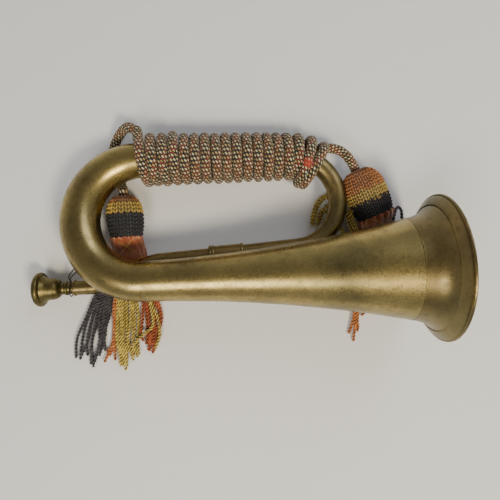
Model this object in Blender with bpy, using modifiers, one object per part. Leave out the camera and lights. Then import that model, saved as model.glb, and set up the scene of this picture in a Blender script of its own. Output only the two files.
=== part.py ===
"""A one-coil brass bugle with a cord-wrapped grip, lying on its side.

It rests on the bell rim, the mouthpiece rim and the cord wrap. Lengths are metres, +Z is up and
+X runs from the mouthpiece to the bell. While it is modelled, x = 0 is the bell rim and y = 0 is
the bell's axis; at the end the whole bugle is moved so that the origin is at the middle of its
footprint.
"""

import math

import bmesh
import bpy
from mathutils import Matrix, Vector

# Overall layout
BRANCH_LENGTH = 0.2315  # left bow's centre to the bell rim
LOOP_WIDTH = 0.0995  # bell axis to the axis of the gripped tube
RIM_RADIUS = 0.0580
CUP_REACH = 0.3207  # bell rim to the mouthpiece rim
CUP_SIDE = -0.0042  # mouthpiece axis beside the bell axis
GAP = 0.0003  # between solids that touch on the real bugle

# Tubing, by outer radius
WALL = 0.0006
PIPE_RADIUS = 0.0052
RIGHT_BOW_START_RADIUS = 0.0072
RIGHT_BOW_END_RADIUS = 0.0086
LEFT_BOW_START_RADIUS = 0.0144
LEFT_BOW_END_RADIUS = 0.0160
RIGHT_BOW_X = -0.1065  # centre of the right bow
RIGHT_BOW_BEND = 0.0390
PIPE_STRAIGHT_X = -0.2210  # the mouthpipe is straight from here to the right bow
PIPE_STRAIGHT_DRIFT = 0.0052  # how far sideways it runs along its straight part
FRONT_STAY_X = -0.1950
REAR_STAY_X = -0.1280
STAY_RADIUS = 0.0018
SADDLE_RADIUS = 0.0028
SADDLE_GAP = 0.0018  # mouthpipe to left bow, filled by the saddle
STAY_GAP = 0.0009  # mouthpipe to bell branch at its closest

# Bell
SEAM_X = -0.0237
SEAM_RADIUS = 0.0401
BRANCH_CONE_SHARE = 0.15  # share of the branch's growth that is a plain cone
FLARE_POWER = 3.2
RIM_WIRE_RADIUS = 0.0012
RIM_BAND_WIDTH = 0.0048
RIM_BAND_WALL = 0.0007

# Mouthpiece, along its axis from the rim's widest place
CUP_RIM_RADIUS = 0.0144
CUP_FACE = 0.0034  # rim's widest place to its playing face
CUP_BACK = 0.0022  # rim's widest place to its back
CUP_EDGE_FALL = 0.90  # how far the rim's section falls inwards, as a share of CUP_FACE
CUP_BOWL_RADIUS = 0.0091
CUP_BOWL_START = 0.0086
CUP_BOWL_END = 0.0160
CUP_MOUTH_RADIUS = 0.0086
NECK_RADIUS = 0.0046
THROAT_RADIUS = 0.0019
COLLAR_START = 0.0201
COLLAR_RADIUS = 0.0058
SHANK_START = 0.0272
SHANK_RADIUS = 0.0046
SHANK_LENGTH = 0.0165
SHANK_TAPER = 0.90
COLLAR_WIDTH = 0.0026

# Receiver and sleeve
RECEIVER_LENGTH = 0.0178
RECEIVER_RADIUS = 0.0061
RECEIVER_LIP = 0.0005
SLEEVE_X = -0.1650
SLEEVE_LENGTH = 0.0290
SLEEVE_WALL = 0.0007
SLEEVE_BEAD = 0.0006
SLEEVE_BEAD_WIDTH = 0.0022
FERRULE_LENGTH = 0.0120

# Cord
CORD_RADIUS = 0.0042
WRAP_LEFT_RADIUS = 0.0224
WRAP_RIGHT_RADIUS = 0.0203
WRAP_WALL = 0.0064
TURN_GAP = 0.0008  # wrap to the loose turn at each end
END_TURNS_TO = 0.175  # share of the right bow that the loose end turns cover
END_TURNS_RADIUS = 0.0195

# Tassels
KNIT_WALL = 0.0016
CORE_BORE = 0.0047
FRINGE_HEIGHT = 0.0060
FRINGE_BASE = 0.0004
SKIRT_SPREAD = 0.92  # skirt's half width at its end, as a share of the knob's radius
KNOB_FROM_BOW = 0.01595  # left knob's axis to the left bow's inner side
KNOB_FROM_GRIP = 0.0283  # left knob's top to the gripped tube's axis
LEFT_KNOB = {
    "top": (
        -BRANCH_LENGTH - LOOP_WIDTH / 2 + LEFT_BOW_END_RADIUS + KNOB_FROM_BOW,
        LOOP_WIDTH - KNOB_FROM_GRIP,
    ),
    "heading": 1.5,
    "radius": 0.0149,
    "length": 0.0352,
    "skirt": 0.0190,
}
RIGHT_KNOB = {
    "top": (-0.0487, 0.0856),
    "heading": 22.0,
    "radius": 0.0182,
    "length": 0.0425,
    "skirt": 0.0200,
}

# Keeper wire
WIRE_RADIUS = 0.00045
EYE_WIRE_RADIUS = 0.0007
EYE_X = -0.2675

# Mesh fineness
BELL_STEPS = 40
TURNED_STEPS = 24
END_STEP = 0.008

# Values that follow from the ones above
AXIS_DROP = LEFT_BOW_END_RADIUS + PIPE_RADIUS + SADDLE_GAP
PITCH = math.atan((RIM_RADIUS - AXIS_DROP - CUP_RIM_RADIUS) / CUP_REACH)
RIM_HEIGHT = RIM_RADIUS * math.cos(PITCH)
BOW_BEND = LOOP_WIDTH / 2
RIGHT_BOW_Y = LOOP_WIDTH - RIGHT_BOW_BEND
PIPE_END_Y = RIGHT_BOW_Y - RIGHT_BOW_BEND
PIPE_STRAIGHT_Y = PIPE_END_Y - PIPE_STRAIGHT_DRIFT

ROOT_NAME = "bugle_stand"


def clear_scene():
    for old in list(bpy.data.objects):
        bpy.data.objects.remove(old, do_unlink=True)


def make_material(name, colour, roughness, metallic):
    material = bpy.data.materials.new(name)
    material.use_nodes = True
    shader = material.node_tree.nodes["Principled BSDF"]
    shader.inputs["Base Color"].default_value = (*colour, 1.0)
    shader.inputs["Roughness"].default_value = roughness
    shader.inputs["Metallic"].default_value = metallic
    return material


def brass(name):
    return make_material(name, (0.42, 0.33, 0.14), 0.36, 1.0)


def dark_brass(name):
    return make_material(name, (0.20, 0.16, 0.09), 0.45, 1.0)


def iron(name):
    return make_material(name, (0.03, 0.028, 0.025), 0.6, 1.0)


def yarn(name, colour):
    return make_material(name, colour, 0.85, 0.0)


# Heights and centrelines


def bell_axis_height(x):
    return RIM_HEIGHT + x * math.tan(PITCH)


def branch_radius(x):
    share = (x + BRANCH_LENGTH) / (BRANCH_LENGTH + SEAM_X)
    growth = BRANCH_CONE_SHARE * share + (1 - BRANCH_CONE_SHARE) * share * share
    return LEFT_BOW_END_RADIUS + (SEAM_RADIUS - LEFT_BOW_END_RADIUS) * growth


def flare_radius(x):
    """Outer radius between the seam and the rim, leaving the seam at the branch's slope."""
    slope = (2 - BRANCH_CONE_SHARE) * (SEAM_RADIUS - LEFT_BOW_END_RADIUS) / (BRANCH_LENGTH + SEAM_X)
    share = 1 - x / SEAM_X
    straight = slope * -SEAM_X
    lip = RIM_RADIUS - RIM_WIRE_RADIUS - SEAM_RADIUS
    return SEAM_RADIUS + straight * share + (lip - straight) * share**FLARE_POWER


def pipe_end_height():
    """Height of the mouthpipe's right end, where it lies closest to the bell branch."""
    apart = branch_radius(RIGHT_BOW_X) + RIGHT_BOW_START_RADIUS + STAY_GAP
    return bell_axis_height(RIGHT_BOW_X) - math.sqrt(apart * apart - PIPE_END_Y * PIPE_END_Y)


PIPE_SLOPE = (pipe_end_height() - CUP_RIM_RADIUS) / (RIGHT_BOW_X + CUP_REACH)
PIPE_PITCH = math.atan(PIPE_SLOPE)
GRIP_SLOPE = (WRAP_LEFT_RADIUS - WRAP_RIGHT_RADIUS) / (BRANCH_LENGTH + RIGHT_BOW_X)


def pipe_height(x):
    return CUP_RIM_RADIUS + (x + CUP_REACH) * PIPE_SLOPE


RECEIVER_X = -CUP_REACH + SHANK_START * math.cos(PIPE_PITCH)
PIPE_START_X = RECEIVER_X + RECEIVER_LENGTH * math.cos(PIPE_PITCH) + 3 * GAP


def smooth_step(share):
    share = min(max(share, 0.0), 1.0)
    return share * share * (3 - 2 * share)


def hermite(share, start, end, start_slope, end_slope, length):
    square, cube = share * share, share**3
    value = (2 * cube - 3 * square + 1) * start + (3 * square - 2 * cube) * end
    bend = (cube - 2 * square + share) * start_slope + (cube - square) * end_slope
    return value + bend * length


def mouthpipe_point(share):
    x = PIPE_START_X + (RIGHT_BOW_X - PIPE_START_X) * share
    straight = (x - PIPE_STRAIGHT_X) / (RIGHT_BOW_X - PIPE_STRAIGHT_X)
    target = PIPE_STRAIGHT_Y + (PIPE_END_Y - PIPE_STRAIGHT_Y) * straight
    bend = smooth_step((x - PIPE_START_X) / (PIPE_STRAIGHT_X - PIPE_START_X))
    y = CUP_SIDE + (target - CUP_SIDE) * bend
    radius = PIPE_RADIUS + (RIGHT_BOW_START_RADIUS - PIPE_RADIUS) * share * share
    return Vector((x, y, pipe_height(x))), radius


def right_bow_point(share):
    angle = math.pi * (share - 0.5)
    x = RIGHT_BOW_X + RIGHT_BOW_BEND * math.cos(angle)
    y = RIGHT_BOW_Y + RIGHT_BOW_BEND * math.sin(angle)
    length = math.pi * RIGHT_BOW_BEND
    z = hermite(share, pipe_end_height(), WRAP_RIGHT_RADIUS, PIPE_SLOPE, GRIP_SLOPE, length)
    radius = RIGHT_BOW_START_RADIUS + (RIGHT_BOW_END_RADIUS - RIGHT_BOW_START_RADIUS) * share
    return Vector((x, y, z)), radius


def top_tube_point(share):
    x = RIGHT_BOW_X - (BRANCH_LENGTH + RIGHT_BOW_X) * share
    z = WRAP_RIGHT_RADIUS + (WRAP_LEFT_RADIUS - WRAP_RIGHT_RADIUS) * share
    radius = RIGHT_BOW_END_RADIUS + (LEFT_BOW_START_RADIUS - RIGHT_BOW_END_RADIUS) * share
    return Vector((x, LOOP_WIDTH, z)), radius


def left_bow_point(share):
    angle = math.pi * (0.5 + share)
    x = -BRANCH_LENGTH + BOW_BEND * math.cos(angle)
    y = LOOP_WIDTH / 2 + BOW_BEND * math.sin(angle)
    end = bell_axis_height(-BRANCH_LENGTH)
    length = math.pi * BOW_BEND
    z = hermite(share, WRAP_LEFT_RADIUS, end, GRIP_SLOPE, math.tan(PITCH), length)
    growth = math.sin(share * math.pi / 2)
    radius = LEFT_BOW_START_RADIUS + (LEFT_BOW_END_RADIUS - LEFT_BOW_START_RADIUS) * growth
    return Vector((x, y, z)), radius


def stations(rule, count, start=0.0, end=1.0):
    """Even steps along a tube, with one close to each end so that the end is cut square."""
    shares = [i / (count - 1) for i in range(count)]
    shares = [0.0, END_STEP, *shares[1:-1], 1 - END_STEP, 1.0]
    return [rule(start + (end - start) * share) for share in shares]


# Ways of making a solid


def add_object(name, data, material):
    data.materials.append(material)
    made = bpy.data.objects.new(name, data)
    parts.objects.link(made)
    return made


def swept(name, line, material, sides, wall=0.0):
    """A round tube along (point, radius) pairs: hollow with open ends, or solid without a wall."""
    first = line[0][1]
    curve = bpy.data.curves.new(name, "CURVE")
    curve.dimensions = "3D"
    curve.bevel_depth = first
    curve.bevel_resolution = (sides - 4) // 2
    curve.use_fill_caps = wall == 0.0
    spline = curve.splines.new("POLY")
    spline.points.add(len(line) - 1)
    for knot, (point, radius) in zip(spline.points, line):
        knot.co = (*point, 1.0)
        knot.radius = radius / first
    spline.use_smooth = True
    made = add_object(name, curve, material)
    if wall:
        shell = made.modifiers.new("wall", "SOLIDIFY")
        shell.thickness = wall
        shell.offset = -1.0
    return made


def turned(name, outline, material, steps):
    """A solid of revolution about local Z from a closed (radius, height) outline."""
    count = len(outline)
    mesh = bpy.data.meshes.new(name)
    edges = [(i, (i + 1) % count) for i in range(count)]
    mesh.from_pydata([(radius, 0.0, height) for radius, height in outline], edges, [])
    made = add_object(name, mesh, material)
    spin = made.modifiers.new("spin", "SCREW")
    spin.steps = steps
    spin.render_steps = steps
    spin.use_merge_vertices = True
    spin.merge_threshold = 0.00001
    spin.use_smooth_shade = True
    return made


def lofted(name, sections, material, sides):
    """A closed skin through elliptical (centre, across, half width, half height) sections."""
    mesh = bpy.data.meshes.new(name)
    form = bmesh.new()
    rings = []
    for centre, across, half_width, half_height in sections:
        ring = []
        for i in range(sides):
            angle = 2 * math.pi * i / sides
            side = across * (half_width * math.cos(angle))
            ring.append(form.verts.new(centre + side + Vector((0, 0, half_height * math.sin(angle)))))
        rings.append(ring)
    for before, after in zip(rings, rings[1:]):
        for i in range(sides):
            j = (i + 1) % sides
            form.faces.new((before[i], before[j], after[j], after[i]))
    form.faces.new(rings[0])
    form.faces.new(rings[-1])
    bmesh.ops.recalc_face_normals(form, faces=form.faces)
    form.to_mesh(mesh)
    form.free()
    return add_object(name, mesh, material)


def flat_outline(name, corners, base, height, material):
    """A slab that stands on height base, from the corners of its outline."""
    curve = bpy.data.curves.new(name, "CURVE")
    curve.dimensions = "2D"
    curve.fill_mode = "BOTH"
    curve.extrude = height / 2
    spline = curve.splines.new("POLY")
    spline.points.add(len(corners) - 1)
    for knot, (x, y) in zip(spline.points, corners):
        knot.co = (x, y, 0.0, 1.0)
    spline.use_cyclic_u = True
    made = add_object(name, curve, material)
    made.location = (0.0, 0.0, base + height / 2)
    return made


def smooth_route(points, count):
    """A Catmull-Rom curve through the points, at count even steps."""
    knots = [Vector(point) for point in points]
    knots = [2 * knots[0] - knots[1], *knots, 2 * knots[-1] - knots[-2]]
    fine = []
    for a, b, c, d in zip(knots, knots[1:], knots[2:], knots[3:]):
        for i in range(16):
            t = i / 16
            fine.append(
                0.5 * (2 * b + (c - a) * t + (2 * a - 5 * b + 4 * c - d) * t * t)
                + 0.5 * (3 * b - a - 3 * c + d) * t**3
            )
    fine.append(knots[-2])
    lengths = [0.0]
    for before, after in zip(fine, fine[1:]):
        lengths.append(lengths[-1] + (after - before).length)
    even = []
    for i in range(count):
        wanted = lengths[-1] * i / (count - 1)
        j = max(k for k in range(len(fine) - 1) if lengths[k] <= wanted + 1e-9)
        share = (wanted - lengths[j]) / (lengths[j + 1] - lengths[j])
        even.append(fine[j].lerp(fine[j + 1], min(share, 1.0)))
    return even


def aim(made, origin, direction):
    """Stands a turned piece's Z axis along a direction, with its X axis as low as it goes."""
    along = direction.normalized()
    down = (Vector((0, 0, -1)) - along * -along.z).normalized()
    turn = Matrix((down, along.cross(down), along)).transposed()
    made.matrix_world = Matrix.Translation(origin) @ turn.to_4x4()
    return made


def axis_empty(name, origin, direction=Vector((0, 0, 1))):
    empty = bpy.data.objects.new(name, None)
    empty.empty_display_size = 0.01
    parts.objects.link(empty)
    if abs(direction.normalized().z) < 0.999:
        return aim(empty, origin, direction)
    empty.location = origin
    return empty


def attach(children, parent):
    bpy.context.view_layer.update()
    for child in children:
        child.parent = parent
        child.matrix_parent_inverse = parent.matrix_world.inverted()


# Brass


def bell_direction():
    return Vector((math.cos(PITCH), 0.0, math.sin(PITCH)))


def pipe_direction():
    return Vector((math.cos(PIPE_PITCH), 0.0, math.sin(PIPE_PITCH)))


def shell_outline(outer, wall):
    """Closed outline of a wall inside (radius, height) points that run down the outer side."""
    inner = [(radius - wall, height) for radius, height in reversed(outer)]
    return outer + inner


def on_bell_axis(made):
    return aim(made, Vector((0.0, 0.0, RIM_HEIGHT)), bell_direction())


def build_bell_branch():
    count = 11
    start = -BRANCH_LENGTH + GAP
    end = SEAM_X - GAP
    places = [end + (start - end) * (i / (count - 1)) ** 1.3 for i in range(count)]
    outer = [(branch_radius(x), x / math.cos(PITCH)) for x in places]
    shell = shell_outline(outer, WALL)
    return on_bell_axis(turned("bell_branch", shell, brass("branch_brass"), BELL_STEPS))


def build_bell_flare():
    count = 9
    places = [SEAM_X * (i / (count - 1)) ** 1.5 for i in range(count)]
    outer = [(flare_radius(x), x) for x in places]
    shell = shell_outline(outer, WALL)
    return on_bell_axis(turned("bell_flare", shell, brass("flare_brass"), BELL_STEPS))


def build_rim_wire():
    """The rolled edge: round in section, with a narrow flat land that the bell can stand on."""
    middle = RIM_RADIUS - RIM_WIRE_RADIUS
    sides = 10
    half = math.pi / sides
    section = []
    for i in range(sides):
        angle = math.pi / 2 - half - 2 * half * i
        section.append((middle + RIM_WIRE_RADIUS * math.cos(angle) / math.cos(half), angle))
    centre = RIM_WIRE_RADIUS + GAP
    outline = [
        (radius, centre + RIM_WIRE_RADIUS * math.sin(angle) / math.cos(half)) for radius, angle in section
    ]
    return on_bell_axis(turned("bell_rim_wire", outline, brass("rim_brass"), BELL_STEPS))


def build_rim_band():
    """A soldered strip round the outside of the flare, a little proud of it."""
    count = 5
    end = -GAP
    outer = []
    for i in range(count):
        x = end - RIM_BAND_WIDTH * i / (count - 1)
        bulge = RIM_BAND_WALL * (0.6 + 0.4 * math.sin(math.pi * i / (count - 1)))
        outer.append((flare_radius(x), x - GAP, bulge))
    top = [(radius, height - bulge) for radius, height, bulge in outer]
    bottom = [(radius, height) for radius, height, bulge in reversed(outer)]
    return on_bell_axis(turned("bell_rim_band", top + bottom, brass("band_brass"), BELL_STEPS))


def build_tubes():
    cut = GAP / 2
    bow_cut = cut / (math.pi * BOW_BEND)
    end_cut = cut / (math.pi * RIGHT_BOW_BEND)
    tube_cut = cut / (BRANCH_LENGTH + RIGHT_BOW_X)
    pipe = stations(mouthpipe_point, 27, 0.0, 1 - tube_cut)
    right = stations(right_bow_point, 15, end_cut, 1 - end_cut)
    top = stations(top_tube_point, 4, tube_cut, 1 - tube_cut)
    left = stations(left_bow_point, 21, bow_cut, 1 - bow_cut)
    return [
        swept("mouthpipe", pipe, brass("pipe_brass"), 12, WALL),
        swept("right_bow", right, brass("right_bow_brass"), 14, WALL),
        swept("top_tube", top, brass("top_tube_brass"), 16, WALL),
        swept("left_bow", left, brass("left_bow_brass"), 20, WALL),
    ]


def ring_outline(inner, outer, length):
    half = length / 2
    return [(inner, half), (outer, half), (outer, -half), (inner, -half)]


def build_ferrules():
    """Hidden rings near the two joints of the gripped tube, clear of the tube's taper."""
    made = []
    taper = (LEFT_BOW_START_RADIUS - RIGHT_BOW_END_RADIUS) / (BRANCH_LENGTH + RIGHT_BOW_X)
    for name, share in (("right_ferrule", 0.05), ("left_ferrule", 0.95)):
        point, radius = top_tube_point(share)
        inner = radius + GAP + FERRULE_LENGTH / 2 * taper
        outline = ring_outline(inner, inner + WALL, FERRULE_LENGTH)
        ring = turned(name, outline, brass(name + "_brass"), TURNED_STEPS)
        made.append(aim(ring, point, Vector((-1.0, 0.0, GRIP_SLOPE))))
    return made


def build_sleeve():
    """A sleeve over the joint in the mouthpipe, with a raised bead at each end."""
    share = pipe_share(SLEEVE_X)
    half_share = SLEEVE_LENGTH / 2 / (RIGHT_BOW_X - PIPE_START_X)
    middle = mouthpipe_point(share)[0]
    after, widest = mouthpipe_point(share + half_share)
    inner = widest + GAP
    body = inner + SLEEVE_WALL
    bead = body + SLEEVE_BEAD
    half = SLEEVE_LENGTH / 2
    outline = [
        (inner, half),
        (bead, half - SLEEVE_BEAD / 2),
        (bead, half - SLEEVE_BEAD_WIDTH),
        (body, half - SLEEVE_BEAD_WIDTH - SLEEVE_BEAD / 2),
        (body, -half + SLEEVE_BEAD_WIDTH + SLEEVE_BEAD / 2),
        (bead, -half + SLEEVE_BEAD_WIDTH),
        (bead, -half + SLEEVE_BEAD / 2),
        (inner, -half),
    ]
    sleeve = turned("pipe_sleeve", outline, brass("sleeve_brass"), TURNED_STEPS)
    return aim(sleeve, middle, after - middle)


def build_receiver():
    inner = SHANK_RADIUS + GAP
    outer = RECEIVER_RADIUS
    lip = outer + RECEIVER_LIP
    outline = [
        (inner, RECEIVER_LENGTH),
        (outer - RECEIVER_LIP, RECEIVER_LENGTH),
        (outer, RECEIVER_LENGTH - 0.0010),
        (outer, 0.0018),
        (lip, 0.0015),
        (lip, 0.0003),
        (outer, 0.0),
        (inner, 0.0),
    ]
    receiver = turned("mouthpiece_receiver", outline, brass("receiver_brass"), TURNED_STEPS)
    origin = Vector((RECEIVER_X + GAP, CUP_SIDE, pipe_height(RECEIVER_X + GAP)))
    return aim(receiver, origin, pipe_direction())


def strut(name, start, end, radius, material):
    """A solid round bar that stops short of what it is soldered to."""
    along = (end - start).normalized()
    line = [(start + along * GAP, radius), (end - along * GAP, radius)]
    return swept(name, line, material, 10)


def pipe_share(x):
    return (x - PIPE_START_X) / (RIGHT_BOW_X - PIPE_START_X)


def bow_crossing():
    """Where the mouthpipe passes straight below the left bow."""
    tries = []
    for i in range(80, 100):
        bow, bow_radius = left_bow_point(i / 100)
        pipe, pipe_radius = mouthpipe_point(pipe_share(bow.x))
        tries.append((abs(bow.y - pipe.y), (bow, bow_radius, pipe, pipe_radius)))
    return min(tries, key=lambda found: found[0])[1]


def build_stays():
    """Soldered bars that hold the mouthpipe to the bell branch and to the left bow."""
    made = []
    for name, x in (("front_stay", FRONT_STAY_X), ("rear_stay", REAR_STAY_X)):
        pipe, pipe_radius = mouthpipe_point(pipe_share(x))
        axis = Vector((x, 0.0, bell_axis_height(x)))
        along = (axis - pipe).normalized()
        start = pipe + along * pipe_radius
        end = axis - along * (branch_radius(x) / math.cos(PITCH))
        made.append(strut(name, start, end, STAY_RADIUS, brass(name + "_brass")))
    bow, bow_radius, pipe, pipe_radius = bow_crossing()
    along = (bow - pipe).normalized()
    start = pipe + along * pipe_radius
    end = bow - along * (bow_radius + GAP)
    made.append(strut("bow_saddle", start, end, SADDLE_RADIUS, brass("saddle_brass")))
    return made


# Mouthpiece and its keeper


def build_mouthpiece():
    """One turned piece: rounded rim, bowl, neck with two collars, and a tapered shank."""
    shank_end = SHANK_START + SHANK_LENGTH
    rim_curve = []
    for i in range(7):
        angle = math.pi / 2 - math.pi * i / 6
        depth = CUP_BACK if angle > 0 else CUP_FACE
        fall = CUP_FACE * CUP_EDGE_FALL * (1 - math.cos(angle))
        rim_curve.append((CUP_RIM_RADIUS - fall, depth * math.sin(angle)))
    bowl = []
    for i in range(5):
        share = i / 4
        fall = 1 - math.sqrt(1 - share * share)
        radius = CUP_BOWL_RADIUS - (CUP_BOWL_RADIUS - NECK_RADIUS) * fall
        bowl.append((radius, CUP_BOWL_START + (CUP_BOWL_END - CUP_BOWL_START) * share))
    outer = [
        (SHANK_RADIUS * SHANK_TAPER, shank_end),
        (SHANK_RADIUS, SHANK_START + 0.0004),
        (SHANK_RADIUS + 0.0004, SHANK_START - 0.0002),
        (COLLAR_RADIUS - 0.0008, COLLAR_START + COLLAR_WIDTH),
        (COLLAR_RADIUS, COLLAR_START + 0.0020),
        (COLLAR_RADIUS, COLLAR_START + 0.0004),
        (NECK_RADIUS + 0.0002, COLLAR_START - 0.0002),
        (COLLAR_RADIUS - 0.0007, COLLAR_START - 0.0008),
        (COLLAR_RADIUS - 0.0007, COLLAR_START - 0.0024),
        (NECK_RADIUS, COLLAR_START - 0.0030),
    ]
    outer += list(reversed(bowl))
    outer += [
        (CUP_BOWL_RADIUS + 0.0003, CUP_BOWL_START - 0.0022),
        (CUP_BOWL_RADIUS + 0.0010, CUP_BOWL_START - 0.0044),
        *rim_curve,
    ]
    cup_depth = CUP_BOWL_END - 0.0008
    inner = []
    for i in range(6):
        share = i / 5
        radius = THROAT_RADIUS + (CUP_MOUTH_RADIUS - THROAT_RADIUS) * math.sqrt(1 - share * share)
        inner.append((radius, -CUP_FACE * 0.7 + (cup_depth + CUP_FACE * 0.7) * share))
    outline = outer + inner + [(THROAT_RADIUS * 1.6, shank_end)]
    made = turned("mouthpiece", outline, dark_brass("mouthpiece_brass"), TURNED_STEPS)
    origin = Vector((-CUP_REACH, CUP_SIDE, CUP_RIM_RADIUS))
    return aim(made, origin, pipe_direction())


def build_keeper():
    """A thin iron wire: hooked in an eye on the mouthpipe and looped round the mouthpiece."""
    pipe, pipe_radius = mouthpipe_point(pipe_share(EYE_X))
    foot = pipe + Vector((0.0, pipe_radius + GAP, 0.0))
    arch = [
        foot + Vector((0.0, 0.0, 0.0030)),
        foot + Vector((-0.0002, 0.0036, 0.0030)),
        foot + Vector((-0.0004, 0.0056, 0.0016)),
        foot + Vector((-0.0004, 0.0056, -0.0016)),
        foot + Vector((-0.0002, 0.0036, -0.0030)),
        foot + Vector((0.0, 0.0, -0.0030)),
    ]
    arch_line = [(point, EYE_WIRE_RADIUS) for point in smooth_route(arch, 11)]
    eye = swept("keeper_eye", arch_line, dark_brass("eye_brass"), 8)
    hole = foot + Vector((-0.0002, 0.0026, 0.0))
    neck = Vector((-CUP_REACH + 0.0250, CUP_SIDE, pipe_height(-CUP_REACH + 0.0250)))
    hook = [
        hole + Vector((-0.0034, 0.0056, 0.0004)),
        hole + Vector((0.0004, 0.0056, 0.0002)),
        hole + Vector((0.0026, 0.0036, 0.0)),
        hole + Vector((0.0022, 0.0010, 0.0)),
        hole,
        hole + Vector((-0.0036, 0.0012, 0.0006)),
    ]
    link = [
        neck + Vector((0.0190, 0.0140, 0.0012)),
        neck + Vector((0.0107, 0.0188, 0.0008)),
        neck + Vector((0.0045, 0.0172, 0.0010)),
        neck + Vector((0.0002, 0.0122, 0.0020)),
        neck + Vector((-0.0010, 0.0088, 0.0034)),
        neck + Vector((0.0006, 0.0066, 0.0046)),
        neck + Vector((0.0012, 0.0034, 0.0062)),
        neck + Vector((0.0006, 0.0, 0.0068)),
        neck + Vector((0.0, -0.0044, 0.0056)),
        neck + Vector((-0.0003, -0.0070, 0.0)),
        neck + Vector((-0.0005, -0.0048, -0.0050)),
        neck + Vector((-0.0008, 0.0, -0.0068)),
        neck + Vector((-0.0012, 0.0044, -0.0052)),
        neck + Vector((-0.0014, 0.0070, -0.0014)),
        neck + Vector((0.0004, 0.0092, 0.0008)),
        neck + Vector((0.0032, 0.0122, 0.0004)),
        neck + Vector((0.0072, 0.0150, -0.0006)),
        neck + Vector((0.0120, 0.0160, -0.0010)),
    ]
    line = [(point, WIRE_RADIUS) for point in smooth_route(hook + link, 76)]
    return swept("keeper_wire", line, iron("keeper_iron"), 8), eye


# Cord


def wrap_radius(x):
    share = (RIGHT_BOW_X - x) / (BRANCH_LENGTH + RIGHT_BOW_X)
    return WRAP_RIGHT_RADIUS + (WRAP_LEFT_RADIUS - WRAP_RIGHT_RADIUS) * min(max(share, 0.0), 1.0)


def build_wrap():
    """The grip's close turns as one sleeve, and the loose turns round the right bow as another."""
    line = []
    for i in range(7):
        centre = top_tube_point(1 - i / 6)[0]
        line.append((centre, wrap_radius(centre.x)))
    wrap = swept("cord_wrap", line, yarn("cord_yarn", (0.33, 0.21, 0.14)), 24, WRAP_WALL)
    first = 1 - TURN_GAP / (math.pi * RIGHT_BOW_BEND)
    ends = []
    for share in (0.0, 0.04, 0.2, 0.4, 0.6, 0.8, 0.96, 1.0):
        roundness = 1 - 0.12 * (2 * share - 1) ** 4
        centre = right_bow_point(first + (1 - END_TURNS_TO - first) * share)[0]
        ends.append((centre, min(END_TURNS_RADIUS * roundness, centre.z - GAP)))
    turns = swept("cord_end_turns", ends, yarn("end_turn_yarn", (0.33, 0.19, 0.14)), 18, WRAP_WALL)
    return [wrap, turns]


def knob_axis_point(knob, depth):
    x, y = knob["top"]
    return Vector((x, y, knob["radius"] + FRINGE_BASE)) + knob_direction(knob) * depth


def build_leads():
    """The free cord from each end of the wrap to its tassel, ending inside the knob's core."""
    grip_end = Vector((-BRANCH_LENGTH, LOOP_WIDTH, 0.0))
    knob_x, knob_y = LEFT_KNOB["top"]
    knob_top = Vector((knob_x, knob_y, 0.0))
    left_route = [
        grip_end + Vector((-0.0020, 0.0227, 0.0290)),
        grip_end + Vector((-0.0065, 0.0258, 0.0262)),
        grip_end + Vector((-0.0115, 0.0283, 0.0205)),
        grip_end + Vector((-0.0173, 0.0267, 0.0135)),
        grip_end + Vector((-0.0230, 0.0210, 0.0082)),
        knob_top + Vector((-0.0089, 0.0408, 0.0054)),
        knob_top + Vector((-0.0091, 0.0318, 0.0047)),
        knob_top + Vector((-0.0073, 0.0228, 0.0048)),
        knob_top + Vector((-0.0045, 0.0143, 0.0064)),
        knob_top + Vector((-0.0016, 0.0076, 0.0108)),
        knob_axis_point(LEFT_KNOB, -0.0025),
        knob_axis_point(LEFT_KNOB, 0.0040),
        knob_axis_point(LEFT_KNOB, 0.0110),
    ]
    right_route = [
        (-0.0765, 0.1045, 0.0250),
        (-0.0700, 0.1042, 0.0246),
        (-0.0628, 0.1020, 0.0238),
        (-0.0568, 0.0975, 0.0222),
        (-0.0524, 0.0925, 0.0200),
        knob_axis_point(RIGHT_KNOB, -0.0028),
        knob_axis_point(RIGHT_KNOB, 0.0045),
        knob_axis_point(RIGHT_KNOB, 0.0170),
    ]
    left_line = [(point, CORD_RADIUS) for point in smooth_route(left_route, 28)]
    right_line = [(point, CORD_RADIUS) for point in smooth_route(right_route, 17)]
    left = swept("left_lead", left_line, yarn("left_lead_yarn", (0.33, 0.23, 0.14)), 10)
    right = swept("right_lead", right_line, yarn("right_lead_yarn", (0.33, 0.23, 0.14)), 10)
    return left, right


# Tassels


def knob_profile(knob):
    """Outer (radius, height) of the knitted cover, from the skirt end up to the cord's hole."""
    count = 9
    hole = CORE_BORE + GAP
    profile = []
    for i in range(count):
        share = i / (count - 1)
        crown = math.sqrt(max(0.0, 1 - (1 - min(share / 0.42, 1.0)) ** 2))
        waist = 1 - 0.16 * max(0.0, (share - 0.55) / 0.45) ** 2
        radius = hole + (knob["radius"] - hole) * crown
        profile.append((radius * waist if share > 0.42 else radius, -knob["length"] * share))
    profile[0] = (hole + KNIT_WALL, 0.0)
    return profile


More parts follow.
